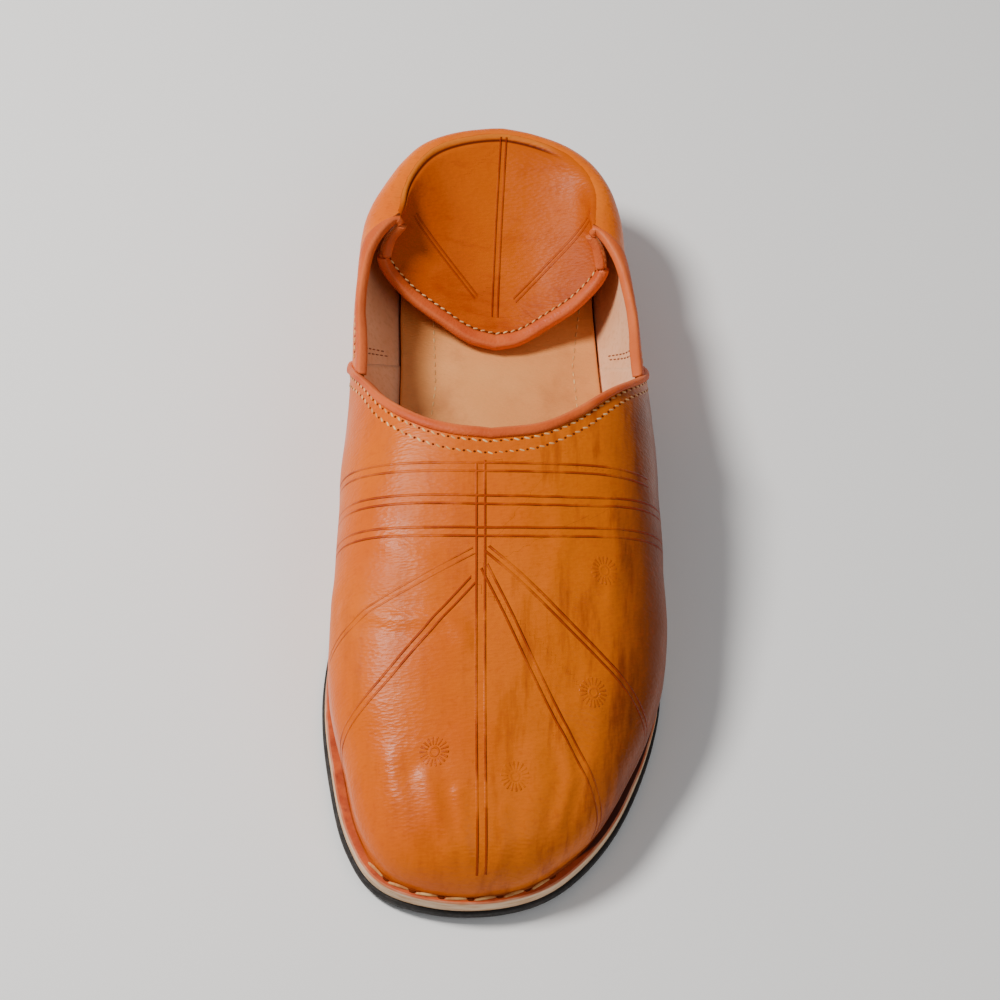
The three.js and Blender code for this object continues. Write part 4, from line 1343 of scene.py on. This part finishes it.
def make_collar_stitches(materials):
    piece = Pieces()
    places = np.linspace(0.06, 0.985, 90)
    for side in SIDES:
        path = wall_point(side, places, COLLAR_ROW, STEP)
        sew(piece, "collar", path, path - wall_point(side, places, COLLAR_ROW, VAMP_WALL))
    piece.make("collar_stitches", "tan_leather", materials, "upper")


LINING_SEAMS = (0.1, 0.145)  # places of the two rows down each lining, where the vamp's lining ends


def make_lining_stitches(materials):
    piece = Pieces()
    columns = np.linspace(0.9, 0.12, 60)
    for side in SIDES:
        for place in LINING_SEAMS:
            path = wall_point(side, place, columns, VAMP_WALL)
            sew(piece, "lining", path, path - wall_point(side, place, columns, STEP))
    piece.make("lining_stitches", "tan_leather", materials, "upper")


# Rows of stitches along both sides of the insole, in plan
INSOLE_ROWS = [
    [(31.5, 100), (28, 64.6), (31, 30), (37, 0), (42, -40)],
    [(-26, 100), (-19.5, 80.9), (-18.2, 52.3), (-21, 20), (-27, -20), (-33, -60)],
]
UPWARDS = np.array([0.0, 0.0, 1.0])


def make_insole_stitches(materials):
    piece = Pieces()
    for plan in INSOLE_ROWS:
        points = np.array([(x, y, UPPER_BASE + INSOLE_THICKNESS) for x, y in plan], float)
        path = at_places(points, np.linspace(0, len(points) - 1, 80))
        sew(piece, "insole", path, np.broadcast_to(UPWARDS, path.shape))
    piece.make("insole_stitches", "insole_leather", materials, "insole")


TOE_STITCH_REACH = 0.045  # how far back from the toe they go, as a share of the sole's length
TOE_STITCH_INSET = {"toe": 2.6, "heel": 2.6, "medial": 3.8, "lateral": 4.0}


def make_toe_stitches(materials):
    """Long hand stitches that hold the upper down on the ledge round the toe."""
    shares = (1 - np.cos(np.linspace(0, math.acos(1 - 2 * TOE_STITCH_REACH), 60))) / 2
    top = MIDSOLE_BASE + MIDSOLE_THICKNESS
    medial, lateral = (sole_edge(side, shares, TOE_STITCH_INSET, top) for side in SIDES)
    path = np.concatenate([medial[::-1], lateral[1:]])
    piece = Pieces()
    sew(piece, "toe", path, np.broadcast_to(UPWARDS, path.shape))
    piece.make("toe_stitches", "sole_leather", materials, "midsole")


def even(inset):
    """The same distance in all round a layer of the sole."""
    return {"toe": inset, "heel": inset, "medial": inset, "lateral": inset}


def make_sole():
    lined = VAMP_WALL + INSOLE_ROOM - INSOLE_SPREAD
    insole_inset = {
        "toe": LEDGE_TOE + lined + INSOLE_TOE_ROOM,
        "heel": LEDGE_TOE + lined + INSOLE_HEEL_ROOM,
        "medial": LEDGE_MEDIAL + lined,
        "lateral": LEDGE_LATERAL + lined,
    }
    make_layer(
        "outsole_rubber", "black_rubber", [rubber_material()], "outsole",
        0, OUTSOLE_THICKNESS, even(0), OUTSOLE_PROFILE,
    )
    filled = GAP * 0.9  # the midsole all but closes the gap below it
    make_layer(
        "midsole_leather", "sole_leather", [midsole_edge_material(), ledge_material()], "midsole",
        MIDSOLE_BASE - filled, MIDSOLE_THICKNESS + filled, even(RUBBER_RIM), MIDSOLE_PROFILE, 0.15,
    )
    make_layer(
        "insole_leather", "insole_leather", [insole_material()], "insole",
        UPPER_BASE, INSOLE_THICKNESS, insole_inset, INSOLE_PROFILE,
    )


def make_slipper():
    lining = lining_material()
    raw_edge = cut_material()
    thread = thread_material("cream_thread", rgb(232, 200, 148), rgb(204, 156, 100))
    waxed_thread = thread_material("waxed_thread", rgb(226, 186, 130), rgb(188, 132, 78))
    lining_thread = thread_material("brown_thread", rgb(150, 96, 60), rgb(120, 70, 40))
    holes = hole_material()
    binding = binding_material()
    make_vamp([vamp_material(), lining, raw_edge])
    make_quarters([quarter_material(), lining, raw_edge, flap_material()])
    make_vamp_binding(binding)
    make_quarter_binding(binding)
    make_sole()
    make_throat_stitches([thread, holes])
    make_flap_stitches([thread, holes])
    make_collar_stitches([thread, holes])
    make_lining_stitches([lining_thread])
    make_insole_stitches([thread])
    make_toe_stitches([waxed_thread, holes])


# Floor, light and camera are in metres.
FLOOR_REACH = 6.0


def make_floor():
    mesh = bpy.data.meshes.new("floor")
    corners = [(x * FLOOR_REACH, y * FLOOR_REACH, 0) for x, y in ((-1, -1), (1, -1), (1, 1), (-1, 1))]
    mesh.from_pydata(corners, [], [(0, 1, 2, 3)])
    shade = Shade("pale_floor", 0.2)
    tint = shade.noise(3, 2.0)
    color = shade.mix(tint, (0.91, 0.91, 0.91, 1), (0.94, 0.94, 0.94, 1))
    mesh.materials.append(shade.finish(color, shade.step(tint, 0, 1, 0.85, 0.9), shade.bump(tint, 0.01)))
    floor = bpy.data.objects.new("floor", mesh)
    bpy.context.scene.collection.objects.link(floor)


LIT_PLACE = (0, 0, 0.02)


def make_light(name, place, size, power, color):
    lamp = bpy.data.lights.new(name, "AREA")
    lamp.shape = "DISK"
    lamp.size = size
    lamp.energy = power
    lamp.color = color
    light = bpy.data.objects.new(name, lamp)
    light.location = place
    toward = Vector(LIT_PLACE) - Vector(place)
    light.rotation_euler = toward.to_track_quat("-Z", "Y").to_euler()
    bpy.context.scene.collection.objects.link(light)


def make_world(brightness):
    world = bpy.data.worlds.new("studio")
    world.use_nodes = True
    background = world.node_tree.nodes["Background"]
    background.inputs["Color"].default_value = (1, 1, 1, 1)
    background.inputs["Strength"].default_value = brightness
    bpy.context.scene.world = world


CAMERA_PLACE = (-0.04729, -0.51657, 0.75364)
CAMERA_RIGHT = (0.9971, 0.0097, 0.0756)
CAMERA_UP = (-0.0514, 0.8178, 0.5732)
CAMERA_FORWARD = (0.0562, 0.5754, -0.8159)
CAMERA_LENS = 100.4
SENSOR = 36


def make_camera():
    data = bpy.data.cameras.new("camera")
    data.lens = CAMERA_LENS
    data.sensor_width = SENSOR
    camera = bpy.data.objects.new("camera", data)
    back = -Vector(CAMERA_FORWARD)
    turn = Matrix((CAMERA_RIGHT, CAMERA_UP, back)).transposed()
    camera.matrix_world = Matrix.Translation(CAMERA_PLACE) @ turn.to_4x4()
    bpy.context.scene.collection.objects.link(camera)
    bpy.context.scene.camera = camera


make_slipper()
make_floor()
make_light("key", (-0.7, 0.12, 0.93), 0.3, 17, (1.0, 0.97, 0.93))
make_light("fill", (0.7, -0.8, 1.1), 0.9, 3, (0.97, 0.98, 1.0))
make_world(0.25)
make_camera()
